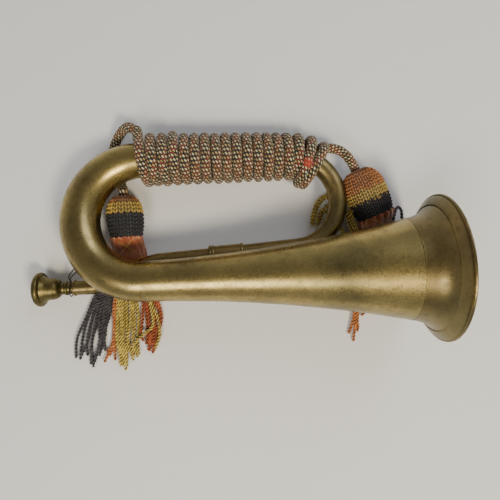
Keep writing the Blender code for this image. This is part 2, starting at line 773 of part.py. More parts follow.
def build_knob(side, knob):
    """A wooden core with a bore for the cord, and the knitted cover round it."""
    profile = knob_profile(knob)
    inner = [(max(radius - KNIT_WALL, CORE_BORE + GAP), height) for radius, height in profile]
    inner[0] = (CORE_BORE + GAP, 0.0)
    cover_outline = profile + list(reversed(inner))
    knitted = yarn(side + "_knit_yarn", (0.30, 0.18, 0.04))
    cover = turned(side + "_knit_cover", cover_outline, knitted, TURNED_STEPS)
    core_outline = []
    for radius, height in inner[1:]:
        core_outline.append((max(radius - GAP, CORE_BORE + 2 * GAP), height))
    core_outline += [(CORE_BORE, core_outline[-1][1]), (CORE_BORE, core_outline[0][1])]
    wood = make_material(side + "_wood", (0.35, 0.2, 0.1), 0.6, 0.0)
    core = turned(side + "_core", core_outline, wood, TURNED_STEPS)
    x, y = knob["top"]
    origin = Vector((x, y, knob["radius"] + FRINGE_BASE))
    away = knob_direction(knob)
    for made in (cover, core):
        aim(made, origin, -away)
    return [cover, core]


def knob_direction(knob):
    heading = math.radians(knob["heading"])
    return Vector((math.sin(heading), -math.cos(heading), 0.0))


def skirt_end(knob, side_share):
    """A corner for a fringe, just past the skirt's end: -1 is its one side and 1 the other."""
    away = knob_direction(knob)
    across = Vector((-away.y, away.x, 0.0))
    reach = knob["length"] + knob["skirt"] + 3 * GAP
    point = knob_axis_point(knob, reach) + across * (knob["radius"] * SKIRT_SPREAD * side_share)
    return point.x, point.y


def build_skirt(side, knob, colour):
    """The satin skirt below a knob, flattening towards the fringe."""
    away = knob_direction(knob)
    across = Vector((-away.y, away.x, 0.0))
    x, y = knob["top"]
    start = Vector((x, y, 0.0)) + away * (knob["length"] + GAP)
    end_half = FRINGE_HEIGHT / 2 + 0.0004
    sections = []
    for i in range(5):
        share = i / 4
        narrowing = smooth_step(share)
        half_height = knob["radius"] * 0.84 * (1 - narrowing) + end_half * narrowing
        half_width = knob["radius"] * (0.86 + (SKIRT_SPREAD - 0.86) * share)
        middle = (knob["radius"] + FRINGE_BASE) * (1 - narrowing) + (end_half + FRINGE_BASE) * narrowing
        centre = start + away * (knob["skirt"] * share) + Vector((0, 0, middle))
        sections.append((centre, across, half_width, half_height))
    return lofted(side + "_skirt", sections, yarn(side + "_satin", colour), 16)


def build_fringe(name, corners, colour):
    return flat_outline(name, corners, FRINGE_BASE, FRINGE_HEIGHT, yarn(name + "_yarn", colour))


def build_left_tassel():
    made = build_knob("left", LEFT_KNOB)
    made.append(build_skirt("left", LEFT_KNOB, (0.30, 0.06, 0.02)))
    black = [
        skirt_end(LEFT_KNOB, -1.0),
        skirt_end(LEFT_KNOB, -0.48),
        (-0.2630, -0.0100),
        (-0.2650, -0.0400),
        (-0.2770, -0.0690),
        (-0.2920, -0.0725),
        (-0.3005, -0.0640),
        (-0.2925, -0.0350),
        (-0.2865, -0.0080),
    ]
    yellow = [
        skirt_end(LEFT_KNOB, -0.42),
        skirt_end(LEFT_KNOB, 0.28),
        (-0.2440, -0.0100),
        (-0.2440, -0.0400),
        (-0.2430, -0.0690),
        (-0.2620, -0.0760),
        (-0.2700, -0.0670),
        (-0.2646, -0.0400),
        (-0.2626, -0.0100),
    ]
    red = [
        skirt_end(LEFT_KNOB, 0.34),
        skirt_end(LEFT_KNOB, 1.0),
        (-0.2240, -0.0160),
        (-0.2215, -0.0400),
        (-0.2290, -0.0640),
        (-0.2426, -0.0668),
        (-0.2436, -0.0400),
        (-0.2436, -0.0100),
    ]
    made.append(build_fringe("left_fringe_black", black, (0.01, 0.01, 0.015)))
    made.append(build_fringe("left_fringe_yellow", yellow, (0.45, 0.36, 0.05)))
    made.append(build_fringe("left_fringe_red", red, (0.28, 0.05, 0.02)))
    return made


def build_right_tassel():
    made = build_knob("right", RIGHT_KNOB)
    made.append(build_skirt("right", RIGHT_KNOB, (0.45, 0.09, 0.03)))
    yellow = [
        skirt_end(RIGHT_KNOB, -1.0),
        (-0.0500, 0.0300),
        (-0.0660, 0.0380),
        (-0.0830, 0.0500),
        (-0.0870, 0.0660),
        (-0.0970, 0.0610),
        (-0.0990, 0.0420),
        (-0.0850, 0.0300),
        (-0.0620, 0.0180),
        (-0.0450, 0.0100),
        (-0.0370, 0.0160),
        skirt_end(RIGHT_KNOB, -0.40),
    ]
    red = [
        skirt_end(RIGHT_KNOB, -0.36),
        (-0.0350, 0.0080),
        (-0.0430, -0.0120),
        (-0.0530, -0.0380),
        (-0.0580, -0.0600),
        (-0.0480, -0.0640),
        (-0.0380, -0.0380),
        (-0.0270, -0.0060),
        skirt_end(RIGHT_KNOB, 0.25),
    ]
    black = [
        skirt_end(RIGHT_KNOB, 0.29),
        (-0.0200, 0.0100),
        (-0.0230, -0.0060),
        (-0.0320, -0.0240),
        (-0.0240, -0.0260),
        (-0.0140, -0.0080),
        (-0.0110, 0.0120),
        skirt_end(RIGHT_KNOB, 0.95),
    ]
    made.append(build_fringe("right_fringe_yellow", yellow, (0.45, 0.36, 0.05)))
    made.append(build_fringe("right_fringe_red", red, (0.50, 0.14, 0.03)))
    made.append(build_fringe("right_fringe_black", black, (0.01, 0.01, 0.015)))
    return made


# Assembly


def footprint(objects):
    """Lowest and highest corner of the objects as they are built."""
    bpy.context.view_layer.update()
    graph = bpy.context.evaluated_depsgraph_get()
    corners = []
    for solid in objects:
        evaluated = solid.evaluated_get(graph)
        mesh = evaluated.to_mesh()
        corners += [solid.matrix_world @ vertex.co for vertex in mesh.vertices]
        evaluated.to_mesh_clear()
    low = Vector([min(corner[i] for corner in corners) for i in range(3)])
    high = Vector([max(corner[i] for corner in corners) for i in range(3)])
    return low, high


clear_scene()
parts = bpy.data.collections.new("bugle")
bpy.context.scene.collection.children.link(parts)

body = [build_bell_branch(), build_bell_flare(), build_rim_wire(), build_rim_band()]
body += build_tubes()
body += build_ferrules()
body += [build_sleeve(), build_receiver()]
body += build_stays()
body += build_wrap()
keeper_wire, keeper_eye = build_keeper()
body += [keeper_wire, keeper_eye]
mouthpiece = build_mouthpiece()
left_lead, right_lead = build_leads()
left_tassel = build_left_tassel()
right_tassel = build_right_tassel()

stand = axis_empty(ROOT_NAME, Vector((0.0, 0.0, 0.0)))
cup_axis = axis_empty("mouthpiece_axis", Vector((-CUP_REACH, CUP_SIDE, CUP_RIM_RADIUS)), pipe_direction())
attach([mouthpiece], cup_axis)
attach([*body, *left_tassel, *right_tassel, left_lead, right_lead, cup_axis], stand)

low, high = footprint([*body, mouthpiece])
stand.location = (-(low.x + high.x) / 2, -(low.y + high.y) / 2, -low.z)
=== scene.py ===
import math

import bpy
import numpy as np
from mathutils import Matrix, Vector, noise


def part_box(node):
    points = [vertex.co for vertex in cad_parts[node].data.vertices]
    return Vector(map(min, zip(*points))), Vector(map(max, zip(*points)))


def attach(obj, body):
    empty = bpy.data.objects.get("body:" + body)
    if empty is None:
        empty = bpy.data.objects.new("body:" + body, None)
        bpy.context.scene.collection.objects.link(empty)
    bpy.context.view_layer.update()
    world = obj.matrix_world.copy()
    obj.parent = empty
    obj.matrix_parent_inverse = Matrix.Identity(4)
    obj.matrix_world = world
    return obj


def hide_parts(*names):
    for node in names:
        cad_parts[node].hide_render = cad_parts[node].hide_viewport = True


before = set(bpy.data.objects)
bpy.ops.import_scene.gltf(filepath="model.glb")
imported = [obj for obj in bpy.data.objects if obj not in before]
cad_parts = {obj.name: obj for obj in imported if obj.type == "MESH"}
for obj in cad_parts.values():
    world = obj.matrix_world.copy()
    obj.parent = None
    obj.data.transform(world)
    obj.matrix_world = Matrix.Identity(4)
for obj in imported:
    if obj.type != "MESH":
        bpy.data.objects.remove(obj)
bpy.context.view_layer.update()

# the bugle's own layout, metres: x = 0 is the bell rim, y = 0 the bell axis
lay = {
    "branchLength": 0.2315,
    "loopWidth": 0.0995,
    "rimRadius": 0.0580,
    "cupReach": 0.3207,
    "cupSide": -0.0042,
    "cupRadius": 0.0144,
    "pipeRadius": 0.0052,
    "rightStartRadius": 0.0072,
    "rightEndRadius": 0.0086,
    "leftStartRadius": 0.0144,
    "leftEndRadius": 0.0160,
    "rightBowX": -0.1065,
    "rightBowBend": 0.0390,
    "pipeStraightX": -0.2210,
    "pipeStraightY": 0.0163,
    "saddleGap": 0.0018,
    "stayGap": 0.0009,
    "seamX": -0.0237,
    "seamRadius": 0.0401,
    "coneShare": 0.15,
    "flarePower": 3.2,
    "rimWire": 0.0012,
    "wall": 0.0006,
    "wrapLeft": 0.0224,
    "wrapRight": 0.0203,
    "cord": 0.0042,
}

rimLow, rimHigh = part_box("bell_rim_wire")
drop = lay["leftEndRadius"] + lay["pipeRadius"] + lay["saddleGap"]
pitch = math.atan((lay["rimRadius"] - drop - lay["cupRadius"]) / lay["cupReach"])
home = Vector(
    (
        (rimLow[0] + rimHigh[0]) / 2 - (lay["rimWire"] + 0.0003) * math.cos(pitch),
        (rimLow[1] + rimHigh[1]) / 2,
        0.0,
    )
)
bowBend = lay["loopWidth"] / 2
rightBowY = lay["loopWidth"] - lay["rightBowBend"]
pipeEndY = rightBowY - lay["rightBowBend"]
rimHeight = lay["rimRadius"] * math.cos(pitch)


def axisHeight(x):
    return rimHeight + x * math.tan(pitch)


def branchRadius(x):
    share = (x + lay["branchLength"]) / (lay["branchLength"] + lay["seamX"])
    growth = lay["coneShare"] * share + (1 - lay["coneShare"]) * share * share
    return lay["leftEndRadius"] + (lay["seamRadius"] - lay["leftEndRadius"]) * growth


def flareRadius(x):
    rise = lay["seamRadius"] - lay["leftEndRadius"]
    slope = (2 - lay["coneShare"]) * rise / (lay["branchLength"] + lay["seamX"])
    share = 1 - x / lay["seamX"]
    straight = slope * -lay["seamX"]
    lip = lay["rimRadius"] - lay["rimWire"] - lay["seamRadius"]
    return lay["seamRadius"] + straight * share + (lip - straight) * share ** lay["flarePower"]


def pipeEndHeight():
    apart = branchRadius(lay["rightBowX"]) + lay["rightStartRadius"] + lay["stayGap"]
    return axisHeight(lay["rightBowX"]) - math.sqrt(apart * apart - pipeEndY * pipeEndY)


pipeSlope = (pipeEndHeight() - lay["cupRadius"]) / (lay["rightBowX"] + lay["cupReach"])
pipePitch = math.atan(pipeSlope)
gripSlope = (lay["wrapLeft"] - lay["wrapRight"]) / (lay["branchLength"] + lay["rightBowX"])
receiverX = -lay["cupReach"] + 0.0272 * math.cos(pipePitch)
pipeStartX = receiverX + 0.0178 * math.cos(pipePitch)


def pipeHeight(x):
    return lay["cupRadius"] + (x + lay["cupReach"]) * pipeSlope


def smoothStep(share):
    share = min(max(share, 0.0), 1.0)
    return share * share * (3 - 2 * share)


def hermite(share, start, end, startSlope, endSlope, length):
    square, cube = share * share, share**3
    value = (2 * cube - 3 * square + 1) * start + (3 * square - 2 * cube) * end
    return value + ((cube - 2 * square + share) * startSlope + (cube - square) * endSlope) * length


def pipePoint(share):
    x = pipeStartX + (lay["rightBowX"] - pipeStartX) * share
    straight = (x - lay["pipeStraightX"]) / (lay["rightBowX"] - lay["pipeStraightX"])
    target = lay["pipeStraightY"] + (pipeEndY - lay["pipeStraightY"]) * straight
    bend = smoothStep((x - pipeStartX) / (lay["pipeStraightX"] - pipeStartX))
    y = lay["cupSide"] + (target - lay["cupSide"]) * bend
    radius = lay["pipeRadius"] + (lay["rightStartRadius"] - lay["pipeRadius"]) * share * share
    return Vector((x, y, pipeHeight(x))), radius


def pipeShare(x):
    return (x - pipeStartX) / (lay["rightBowX"] - pipeStartX)


def rightBowPoint(share):
    angle = math.pi * (share - 0.5)
    bend = lay["rightBowBend"]
    x = lay["rightBowX"] + bend * math.cos(angle)
    y = rightBowY + bend * math.sin(angle)
    z = hermite(share, pipeEndHeight(), lay["wrapRight"], pipeSlope, gripSlope, math.pi * bend)
    growth = lay["rightEndRadius"] - lay["rightStartRadius"]
    return Vector((x, y, z)), lay["rightStartRadius"] + growth * share


def leftBowPoint(share):
    angle = math.pi * (0.5 + share)
    x = -lay["branchLength"] + bowBend * math.cos(angle)
    y = bowBend + bowBend * math.sin(angle)
    end = axisHeight(-lay["branchLength"])
    z = hermite(share, lay["wrapLeft"], end, gripSlope, math.tan(pitch), math.pi * bowBend)
    growth = (lay["leftEndRadius"] - lay["leftStartRadius"]) * math.sin(share * math.pi / 2)
    return Vector((x, y, z)), lay["leftStartRadius"] + growth


def smoothRoute(points, count):
    knots = [Vector(point) for point in points]
    knots = [2 * knots[0] - knots[1], *knots, 2 * knots[-1] - knots[-2]]
    fine = []
    for a, b, c, d in zip(knots, knots[1:], knots[2:], knots[3:]):
        for i in range(16):
            t = i / 16
            fine.append(
                0.5 * (2 * b + (c - a) * t + (2 * a - 5 * b + 4 * c - d) * t * t)
                + 0.5 * (3 * b - a - 3 * c + d) * t**3
            )
    fine.append(knots[-2])
    steps = np.array([(after - before).length for before, after in zip(fine, fine[1:])])
    along = np.concatenate(([0.0], np.cumsum(steps)))
    wanted = np.linspace(0.0, along[-1], count)
    table = np.array([list(point) for point in fine])
    return [Vector([float(np.interp(w, along, table[:, k])) for k in range(3)]) for w in wanted]


# camera, standing almost straight above
camera = bpy.data.objects.new("camera", bpy.data.cameras.new("camera"))
bpy.context.scene.collection.objects.link(camera)
camera.data.lens = 31.0
camera.data.sensor_width = 36.0
camera.data.clip_start = 0.01
tilt, roll = math.radians(4.26), math.radians(2.67)
ahead = Vector((math.sin(tilt), 0.0, -math.cos(tilt)))
level = Vector((math.cos(tilt), 0.0, math.sin(tilt)))
right = math.cos(roll) * level - math.sin(roll) * Vector((0, 1, 0))
up = math.sin(roll) * level + math.cos(roll) * Vector((0, 1, 0))
turn = Matrix((right, up, -ahead)).transposed().to_4x4()
camera.matrix_world = Matrix.Translation(home + Vector((-0.17201, 0.02074, 0.38692))) @ turn
bpy.context.scene.camera = camera


# colours and nodes


def shade(code):
    parts = [int(code[i : i + 2], 16) / 255 for i in (1, 3, 5)]
    return tuple(p / 12.92 if p <= 0.04045 else ((p + 0.055) / 1.055) ** 2.4 for p in parts) + (1.0,)


def newMaterial(name):
    material = bpy.data.materials.new(name)
    material.use_nodes = True
    return material, material.node_tree, material.node_tree.nodes["Principled BSDF"]


def addNode(tree, kind, settings=None, **inputs):
    node = tree.nodes.new("ShaderNode" + kind)
    for key, value in (settings or {}).items():
        setattr(node, key, value)
    for key, value in inputs.items():
        socket = node.inputs[int(key[1:])] if key[0] == "i" and key[1:].isdigit() else node.inputs[key]
        if isinstance(value, bpy.types.NodeSocket):
            tree.links.new(value, socket)
        else:
            socket.default_value = value
    return node


def sums(tree, operation, a, b=0.0, c=None):
    inputs = {"i0": a, "i1": b}
    if c is not None:
        inputs["i2"] = c
    return addNode(tree, "Math", {"operation": operation}, **inputs).outputs[0]


def ramp(tree, value, stops, sharp=False):
    node = addNode(tree, "ValToRGB", None, Fac=value)
    strip = node.color_ramp
    strip.interpolation = "CONSTANT" if sharp else "LINEAR"
    while len(strip.elements) < len(stops):
        strip.elements.new(0.5)
    for element, (place, colour) in zip(strip.elements, stops):
        element.position = place
        element.color = shade(colour)
    return node.outputs["Color"]


def mixed(tree, share, a, b, how="MIX"):
    node = addNode(tree, "Mix", {"data_type": "RGBA", "blend_type": how}, i0=share, i6=a, i7=b)
    return node.outputs[2]


def fitted(tree, value, low, high, toLow, toHigh):
    return addNode(tree, "MapRange", None, i0=value, i1=low, i2=high, i3=toLow, i4=toHigh).outputs[0]


def speckle(tree, place, scale, detail=4.0, rough=0.55, stretch=None):
    if stretch:
        place = addNode(tree, "Mapping", None, Vector=place, Scale=stretch).outputs[0]
    noiseNode = addNode(tree, "TexNoise", None, Vector=place, Scale=scale, Detail=detail, Roughness=rough)
    return noiseNode.outputs["Fac"]


def finishBump(tree, shader, height, strength, distance):
    bump = addNode(tree, "Bump", None, Height=height, Strength=strength, Distance=distance)
    tree.links.new(bump.outputs[0], shader.inputs["Normal"])


# aged brass: spun and drawn sheet, once polished, with brown tarnish, handling scratches and small pits
def brass(name, bright, dull, dark, polish, tarnish):
    material, tree, shader = newMaterial(name)
    place = addNode(tree, "TexCoord").outputs["Object"]
    clouds = speckle(tree, place, 22.0, 5.0, 0.6)
    mottle = speckle(tree, place, 150.0, 8.0, 0.65)
    grain = speckle(tree, place, 900.0, 4.0, 0.6)
    wide = fitted(tree, clouds, 0.35, 0.68, 0.0, 1.0)
    colour = mixed(tree, wide, shade(bright), shade(dull))
    freckle = fitted(tree, mottle, 0.50, 0.72, 0.0, tarnish)
    colour = mixed(tree, freckle, colour, shade(dark))
    olive = fitted(tree, speckle(tree, place, 11.0, 3.0), 0.46, 0.66, 0.0, 0.5)
    colour = mixed(tree, olive, colour, shade("#6b6a48"))
    pits = addNode(tree, "TexVoronoi", None, Vector=place, Scale=75.0).outputs["Distance"]
    pit = fitted(tree, pits, 0.035, 0.075, 1.0, 0.0)
    chosen = fitted(tree, speckle(tree, place, 31.0, 2.0), 0.62, 0.70, 0.0, 0.7)
    pitted = sums(tree, "MULTIPLY", pit, chosen)
    colour = mixed(tree, pitted, colour, shade("#2e2214"))
    tree.links.new(colour, shader.inputs["Base Color"])
    shader.inputs["Metallic"].default_value = 1.0
    scratch = speckle(tree, place, 1.0, 3.0, 0.7, (60.0, 1500.0, 1500.0))
    gloss = fitted(tree, sums(tree, "ADD", mottle, grain), 0.7, 1.3, polish - 0.07, polish + 0.13)
    gloss = sums(tree, "ADD", gloss, sums(tree, "MULTIPLY", scratch, 0.08))
    tree.links.new(gloss, shader.inputs["Roughness"])
    height = sums(tree, "ADD", sums(tree, "MULTIPLY", scratch, 0.25), sums(tree, "MULTIPLY", mottle, 0.5))
    height = sums(tree, "SUBTRACT", height, pitted)
    finishBump(tree, shader, height, 0.22, 0.0003)
    return material


# worn iron binding wire
def ironWire(name):
    material, tree, shader = newMaterial(name)
    place = addNode(tree, "TexCoord").outputs["Object"]
    rust = speckle(tree, place, 500.0, 5.0, 0.7)
    colour = ramp(tree, rust, [(0.35, "#16110e"), (0.62, "#3a2418"), (0.8, "#5e3a22")])
    tree.links.new(colour, shader.inputs["Base Color"])
    shader.inputs["Metallic"].default_value = 0.6
    shader.inputs["Roughness"].default_value = 0.62
    finishBump(tree, shader, rust, 0.5, 0.0002)
    return material


# round braided worsted cord: a straw thread crosses a maroon and navy one in every diamond, with a fine ply
def braid(name, pattern, light, ground, worn):
    material, tree, shader = newMaterial(name)
    uv = addNode(tree, "UVMap", {"uv_map": "wind"}).outputs[0]
    split = addNode(tree, "SeparateXYZ", None, Vector=uv)
    place = addNode(tree, "TexCoord").outputs["Object"]
    wobble = sums(tree, "MULTIPLY", sums(tree, "SUBTRACT", speckle(tree, place, 300.0, 2.0), 0.5), 0.25)
    length = sums(tree, "ADD", sums(tree, "MULTIPLY", split.outputs[1], pattern["perMetre"]), wobble)
    ringwise = sums(tree, "MULTIPLY", split.outputs[0], pattern["around"])
    ringwise = sums(tree, "ADD", ringwise, sums(tree, "MULTIPLY", length, pattern["skew"]))
    one = sums(tree, "ADD", ringwise, length)
    other = sums(tree, "SUBTRACT", ringwise, length)
    cells = sums(tree, "ADD", sums(tree, "FLOOR", one), sums(tree, "FLOOR", other))
    over = sums(tree, "PINGPONG", cells, 1.0)
    fine = {}
    colours = {}
    domes = {}
    for key, value, crossing, stops in (("one", one, other, light), ("other", other, one, ground)):
        index = sums(tree, "FLOORED_MODULO", sums(tree, "FLOOR", value), pattern["around"])
        index = sums(tree, "DIVIDE", sums(tree, "ADD", index, 0.5), pattern["around"])
        colours[key] = ramp(tree, index, stops, True)
        across = sums(tree, "SINE", sums(tree, "MULTIPLY", sums(tree, "FRACT", value), math.pi))
        lengthwise = sums(tree, "SINE", sums(tree, "MULTIPLY", sums(tree, "FRACT", crossing), math.pi))
        lengthwise = sums(tree, "ADD", sums(tree, "MULTIPLY", lengthwise, 0.7), 0.3)
        domes[key] = sums(tree, "MULTIPLY", across, lengthwise)
        ply = sums(tree, "ADD", sums(tree, "MULTIPLY", value, 3.0), crossing)
        fine[key] = sums(tree, "SINE", sums(tree, "MULTIPLY", ply, math.tau))
    colour = mixed(tree, over, colours["one"], colours["other"])
    dome = mixed(tree, over, domes["one"], domes["other"])
    thread = mixed(tree, over, fine["one"], fine["other"])
    # painted shade: the colour is darkened in the grooves between the threads, following the braid's domes
    creaseShade = fitted(tree, dome, 0.22, 0.72, 0.05, 1.0)
    colour = mixed(tree, 1.0, colour, creaseShade, "MULTIPLY")
    dust = speckle(tree, place, 45.0, 5.0, 0.6)
    colour = mixed(tree, fitted(tree, dust, 0.45, 0.75, 0.0, worn), colour, shade("#6a5a3c"))
    spot = tuple(pattern["stain"])
    stain = addNode(tree, "VectorMath", {"operation": "DISTANCE"}, i0=place, i1=spot).outputs["Value"]
    stain = sums(tree, "ADD", stain, sums(tree, "MULTIPLY", sums(tree, "SUBTRACT", dust, 0.5), 0.006))
    colour = mixed(tree, fitted(tree, stain, 0.0025, 0.0055, 0.75, 0.0), colour, shade("#b3331d"))
    tree.links.new(colour, shader.inputs["Base Color"])
    shader.inputs["Roughness"].default_value = 0.78
    shader.inputs["Sheen Weight"].default_value = 0.15
    height = sums(tree, "ADD", dome, sums(tree, "MULTIPLY", thread, 0.10))
    height = sums(tree, "ADD", height, sums(tree, "MULTIPLY", speckle(tree, place, 2500.0, 2.0), 0.2))
    finishBump(tree, shader, height, 0.9, 0.0006)
    return material


# knitted cotton cover: rows of V stitches in dyed bands, each stitch two slanting legs
def knit(name, pattern):
    material, tree, shader = newMaterial(name)
    uv = addNode(tree, "UVMap", {"uv_map": "wind"}).outputs[0]
    split = addNode(tree, "SeparateXYZ", None, Vector=uv)
    place = addNode(tree, "TexCoord").outputs["Object"]
    across = sums(tree, "MULTIPLY", split.outputs[0], pattern["stitches"])
    legs = sums(tree, "ABSOLUTE", sums(tree, "SUBTRACT", sums(tree, "FRACT", across), 0.5))
    rows = sums(tree, "MULTIPLY", split.outputs[1], pattern["rowsPerMetre"])
    rows = sums(tree, "ADD", rows, sums(tree, "MULTIPLY", legs, 1.3))
    leg = sums(tree, "SINE", sums(tree, "MULTIPLY", legs, math.tau))
    loop = sums(tree, "SINE", sums(tree, "MULTIPLY", sums(tree, "FRACT", rows), math.pi))
    dome = sums(tree, "MULTIPLY", leg, loop)
    blur = sums(tree, "SUBTRACT", speckle(tree, place, 420.0, 3.0), 0.5)
    blur = sums(tree, "MULTIPLY", blur, pattern["mixing"])
    depth = sums(tree, "DIVIDE", sums(tree, "FLOOR", rows), pattern["rowsPerMetre"])
    share = sums(tree, "DIVIDE", sums(tree, "ADD", depth, blur), pattern["length"])
    bands = [(start / pattern["length"], code) for start, code in pattern["bands"]]
    colour = ramp(tree, share, bands, True)
    shadeNoise = fitted(tree, speckle(tree, place, 260.0, 4.0, 0.6), 0.35, 0.65, 0.62, 1.15)
    colour = mixed(tree, 1.0, colour, shadeNoise, "MULTIPLY")
    flecks = fitted(tree, speckle(tree, place, 800.0, 3.0), 0.58, 0.72, 0.0, 0.5)
    colour = mixed(tree, flecks, colour, shade(pattern["fleck"]))
    # painted shade: the colour is darkened between the stitch legs and rows, following the stitch domes
    creaseShade = fitted(tree, dome, 0.03, 0.55, 0.10, 1.0)
    colour = mixed(tree, 1.0, colour, creaseShade, "MULTIPLY")
    tree.links.new(colour, shader.inputs["Base Color"])
    shader.inputs["Roughness"].default_value = 0.72
    shader.inputs["Sheen Weight"].default_value = 0.12
    height = sums(tree, "ADD", dome, sums(tree, "MULTIPLY", speckle(tree, place, 3000.0, 2.0), 0.25))
    finishBump(tree, shader, height, 1.0, 0.0008)
    return material


# worn rayon satin: folded cloth with a soft shine, fold crests painted lighter and fold hollows painted in
# shade, tied down by crossing yellow threads
def satin(name, light, deep, threads):
    material, tree, shader = newMaterial(name)
    uv = addNode(tree, "UVMap", {"uv_map": "wind"}).outputs[0]
    split = addNode(tree, "SeparateXYZ", None, Vector=uv)
    place = addNode(tree, "TexCoord").outputs["Object"]
    folds = speckle(tree, place, 90.0, 5.0, 0.6)
    weave = speckle(tree, place, 1800.0, 2.0)
    # painted light and shade: the noise that raises the folds turns the colour deep in the hollows and light
    # on the crests
    colour = ramp(tree, folds, [(0.33, deep), (0.62, light)])
    ringwise = sums(tree, "MULTIPLY", split.outputs[0], threads["around"])
    length = sums(tree, "MULTIPLY", split.outputs[1], threads["perMetre"])
    lines = []
    for way in ("ADD", "SUBTRACT"):
        line = sums(tree, "FRACT", sums(tree, way, ringwise, length))
        line = sums(tree, "ABSOLUTE", sums(tree, "SUBTRACT", line, 0.5))
        lines.append(fitted(tree, line, threads["width"], threads["width"] * 1.6, 1.0, 0.0))
    thread = sums(tree, "MAXIMUM", lines[0], lines[1])
    colour = mixed(tree, thread, colour, shade(threads["colour"]))
    tree.links.new(colour, shader.inputs["Base Color"])
    shader.inputs["Roughness"].default_value = 0.42
    shader.inputs["Sheen Weight"].default_value = 0.2
    height = sums(tree, "ADD", sums(tree, "MULTIPLY", weave, 0.15), sums(tree, "ADD", thread, folds))
    finishBump(tree, shader, height, 0.6, 0.0005)
    return material


# mercerised cotton or rayon yarn, two plies twisted: soft shine on the plies and painted shade in the grooves
# between them
strandTwist = 330.0  # half turns in a metre


def yarn(name, light, deep, gloss=0.42):
    material, tree, shader = newMaterial(name)
    uv = addNode(tree, "UVMap", {"uv_map": "wind"}).outputs[0]
    split = addNode(tree, "SeparateXYZ", None, Vector=uv)
    place = addNode(tree, "TexCoord").outputs["Object"]
    lean = sums(tree, "MULTIPLY", split.outputs[0], math.tau)
    lean = sums(tree, "SUBTRACT", lean, sums(tree, "MULTIPLY", split.outputs[1], strandTwist * math.pi))
    lobe = sums(tree, "ABSOLUTE", sums(tree, "COSINE", lean))
    fibres = sums(tree, "MULTIPLY", split.outputs[0], 18.0)
    fibres = sums(tree, "ADD", fibres, sums(tree, "MULTIPLY", split.outputs[1], 900.0))
    hair = sums(tree, "SINE", sums(tree, "MULTIPLY", fibres, math.tau))
    patch = speckle(tree, place, 260.0, 4.0, 0.6)
    streak = sums(tree, "ADD", sums(tree, "MULTIPLY", hair, 0.05), patch)
    colour = ramp(tree, streak, [(0.32, deep), (0.60, light)])
    # painted shade: the colour is darkened in the grooves between the two plies
    colour = mixed(tree, 1.0, colour, fitted(tree, lobe, 0.30, 0.85, 0.10, 1.0), "MULTIPLY")
    tree.links.new(colour, shader.inputs["Base Color"])
    shader.inputs["Roughness"].default_value = gloss
    shader.inputs["Sheen Weight"].default_value = 0.15
    height = sums(tree, "ADD", lobe, sums(tree, "MULTIPLY", hair, 0.08))
    finishBump(tree, shader, height, 0.8, 0.0006)
    return material


# plain matt paper, pale grey
def paper(name):
    material, tree, shader = newMaterial(name)
    place = addNode(tree, "TexCoord").outputs["Object"]
    fibre = speckle(tree, place, 900.0, 6.0, 0.7)
    colour = ramp(tree, fibre, [(0.3, "#e2e3e5"), (0.7, "#e7e8ea")])
    tree.links.new(colour, shader.inputs["Base Color"])
    shader.inputs["Roughness"].default_value = 0.9
    finishBump(tree, shader, fibre, 0.1, 0.0002)
    return material


# turned softwood mould inside each tassel
def turnedWood(name):
    material, tree, shader = newMaterial(name)
    place = addNode(tree, "TexCoord").outputs["Object"]
    rings = speckle(tree, place, 120.0, 4.0, 0.6, (1.0, 6.0, 6.0))
    colour = ramp(tree, rings, [(0.3, "#7a5230"), (0.7, "#a9794c")])
    tree.links.new(colour, shader.inputs["Base Color"])
    shader.inputs["Roughness"].default_value = 0.6
    return material


bodyBrass = brass("brass_body", "#b09d64", "#8a7a52", "#483c28", 0.24, 0.44)
flareBrass = brass("brass_flare", "#8c7b50", "#6c5e42", "#3a3022", 0.27, 0.50)
pipeBrass = brass("brass_pipe", "#968356", "#6e6040", "#383020", 0.30, 0.55)
cupBrass = brass("brass_cup", "#82744a", "#575032", "#262012", 0.34, 0.75)
wireIron = ironWire("iron_wire")
mouldWood = turnedWood("wood_mould")
stainSpot = home + Vector((-0.0950, 0.0905, 0.0385))
cordPattern = {"around": 9.0, "perMetre": 350.0, "skew": 0.5, "stain": stainSpot}
cordYarn = braid(
    "yarn_cord",
    cordPattern,
    [(0.0, "#e6d7a2"), (0.25, "#c9ad72"), (0.5, "#e3d5a6"), (0.75, "#b8995f")],
    [(0.0, "#7a2429"), (0.32, "#211c2a"), (0.55, "#84292a"), (0.78, "#262030")],
    0.22,
)
leftKnitPattern = {
    "stitches": 18.0,
    "rowsPerMetre": 310.0,
    "length": 0.0352,
    "bands": [(0.0, "#a46a3a"), (0.0049, "#c6a444"), (0.0146, "#24232b")],
    "mixing": 0.002,
    "fleck": "#3a2412",
}
rightKnitPattern = {
    "stitches": 24.0,
    "rowsPerMetre": 360.0,
    "length": 0.0425,
    "bands": [(0.0, "#bd7a44"), (0.0175, "#cbab58"), (0.0270, "#24232b")],
    "mixing": 0.012,
    "fleck": "#96542f",
}
leftKnit = knit("yarn_left_knit", leftKnitPattern)
rightKnit = knit("yarn_right_knit", rightKnitPattern)
blackYarn = yarn("yarn_black", "#57505a", "#1c181f")
yellowYarn = yarn("yarn_yellow", "#e3c95e", "#a0832c")
redYarn = yarn("yarn_red", "#c4622c", "#7c2f16")
orangeYarn = yarn("yarn_orange", "#de8a44", "#9c4a20")
tieThreads = {"around": 4.0, "perMetre": 62.0, "width": 0.016, "colour": "#b8934a"}
# the two satin colours are painted shading: #ad6040 for lit fold crests, #7a3b25 for shaded fold hollows
rustSatin = satin("satin_rust", "#ad6040", "#7a3b25", tieThreads)
print("materials ready")


# ways of making a piece


def deselect():
    for other in bpy.context.selected_objects:
        other.select_set(False)


def nameIt(piece, name, material):
    piece.name = name
    piece.data.name = name
    piece.data.materials.append(material)
    return piece


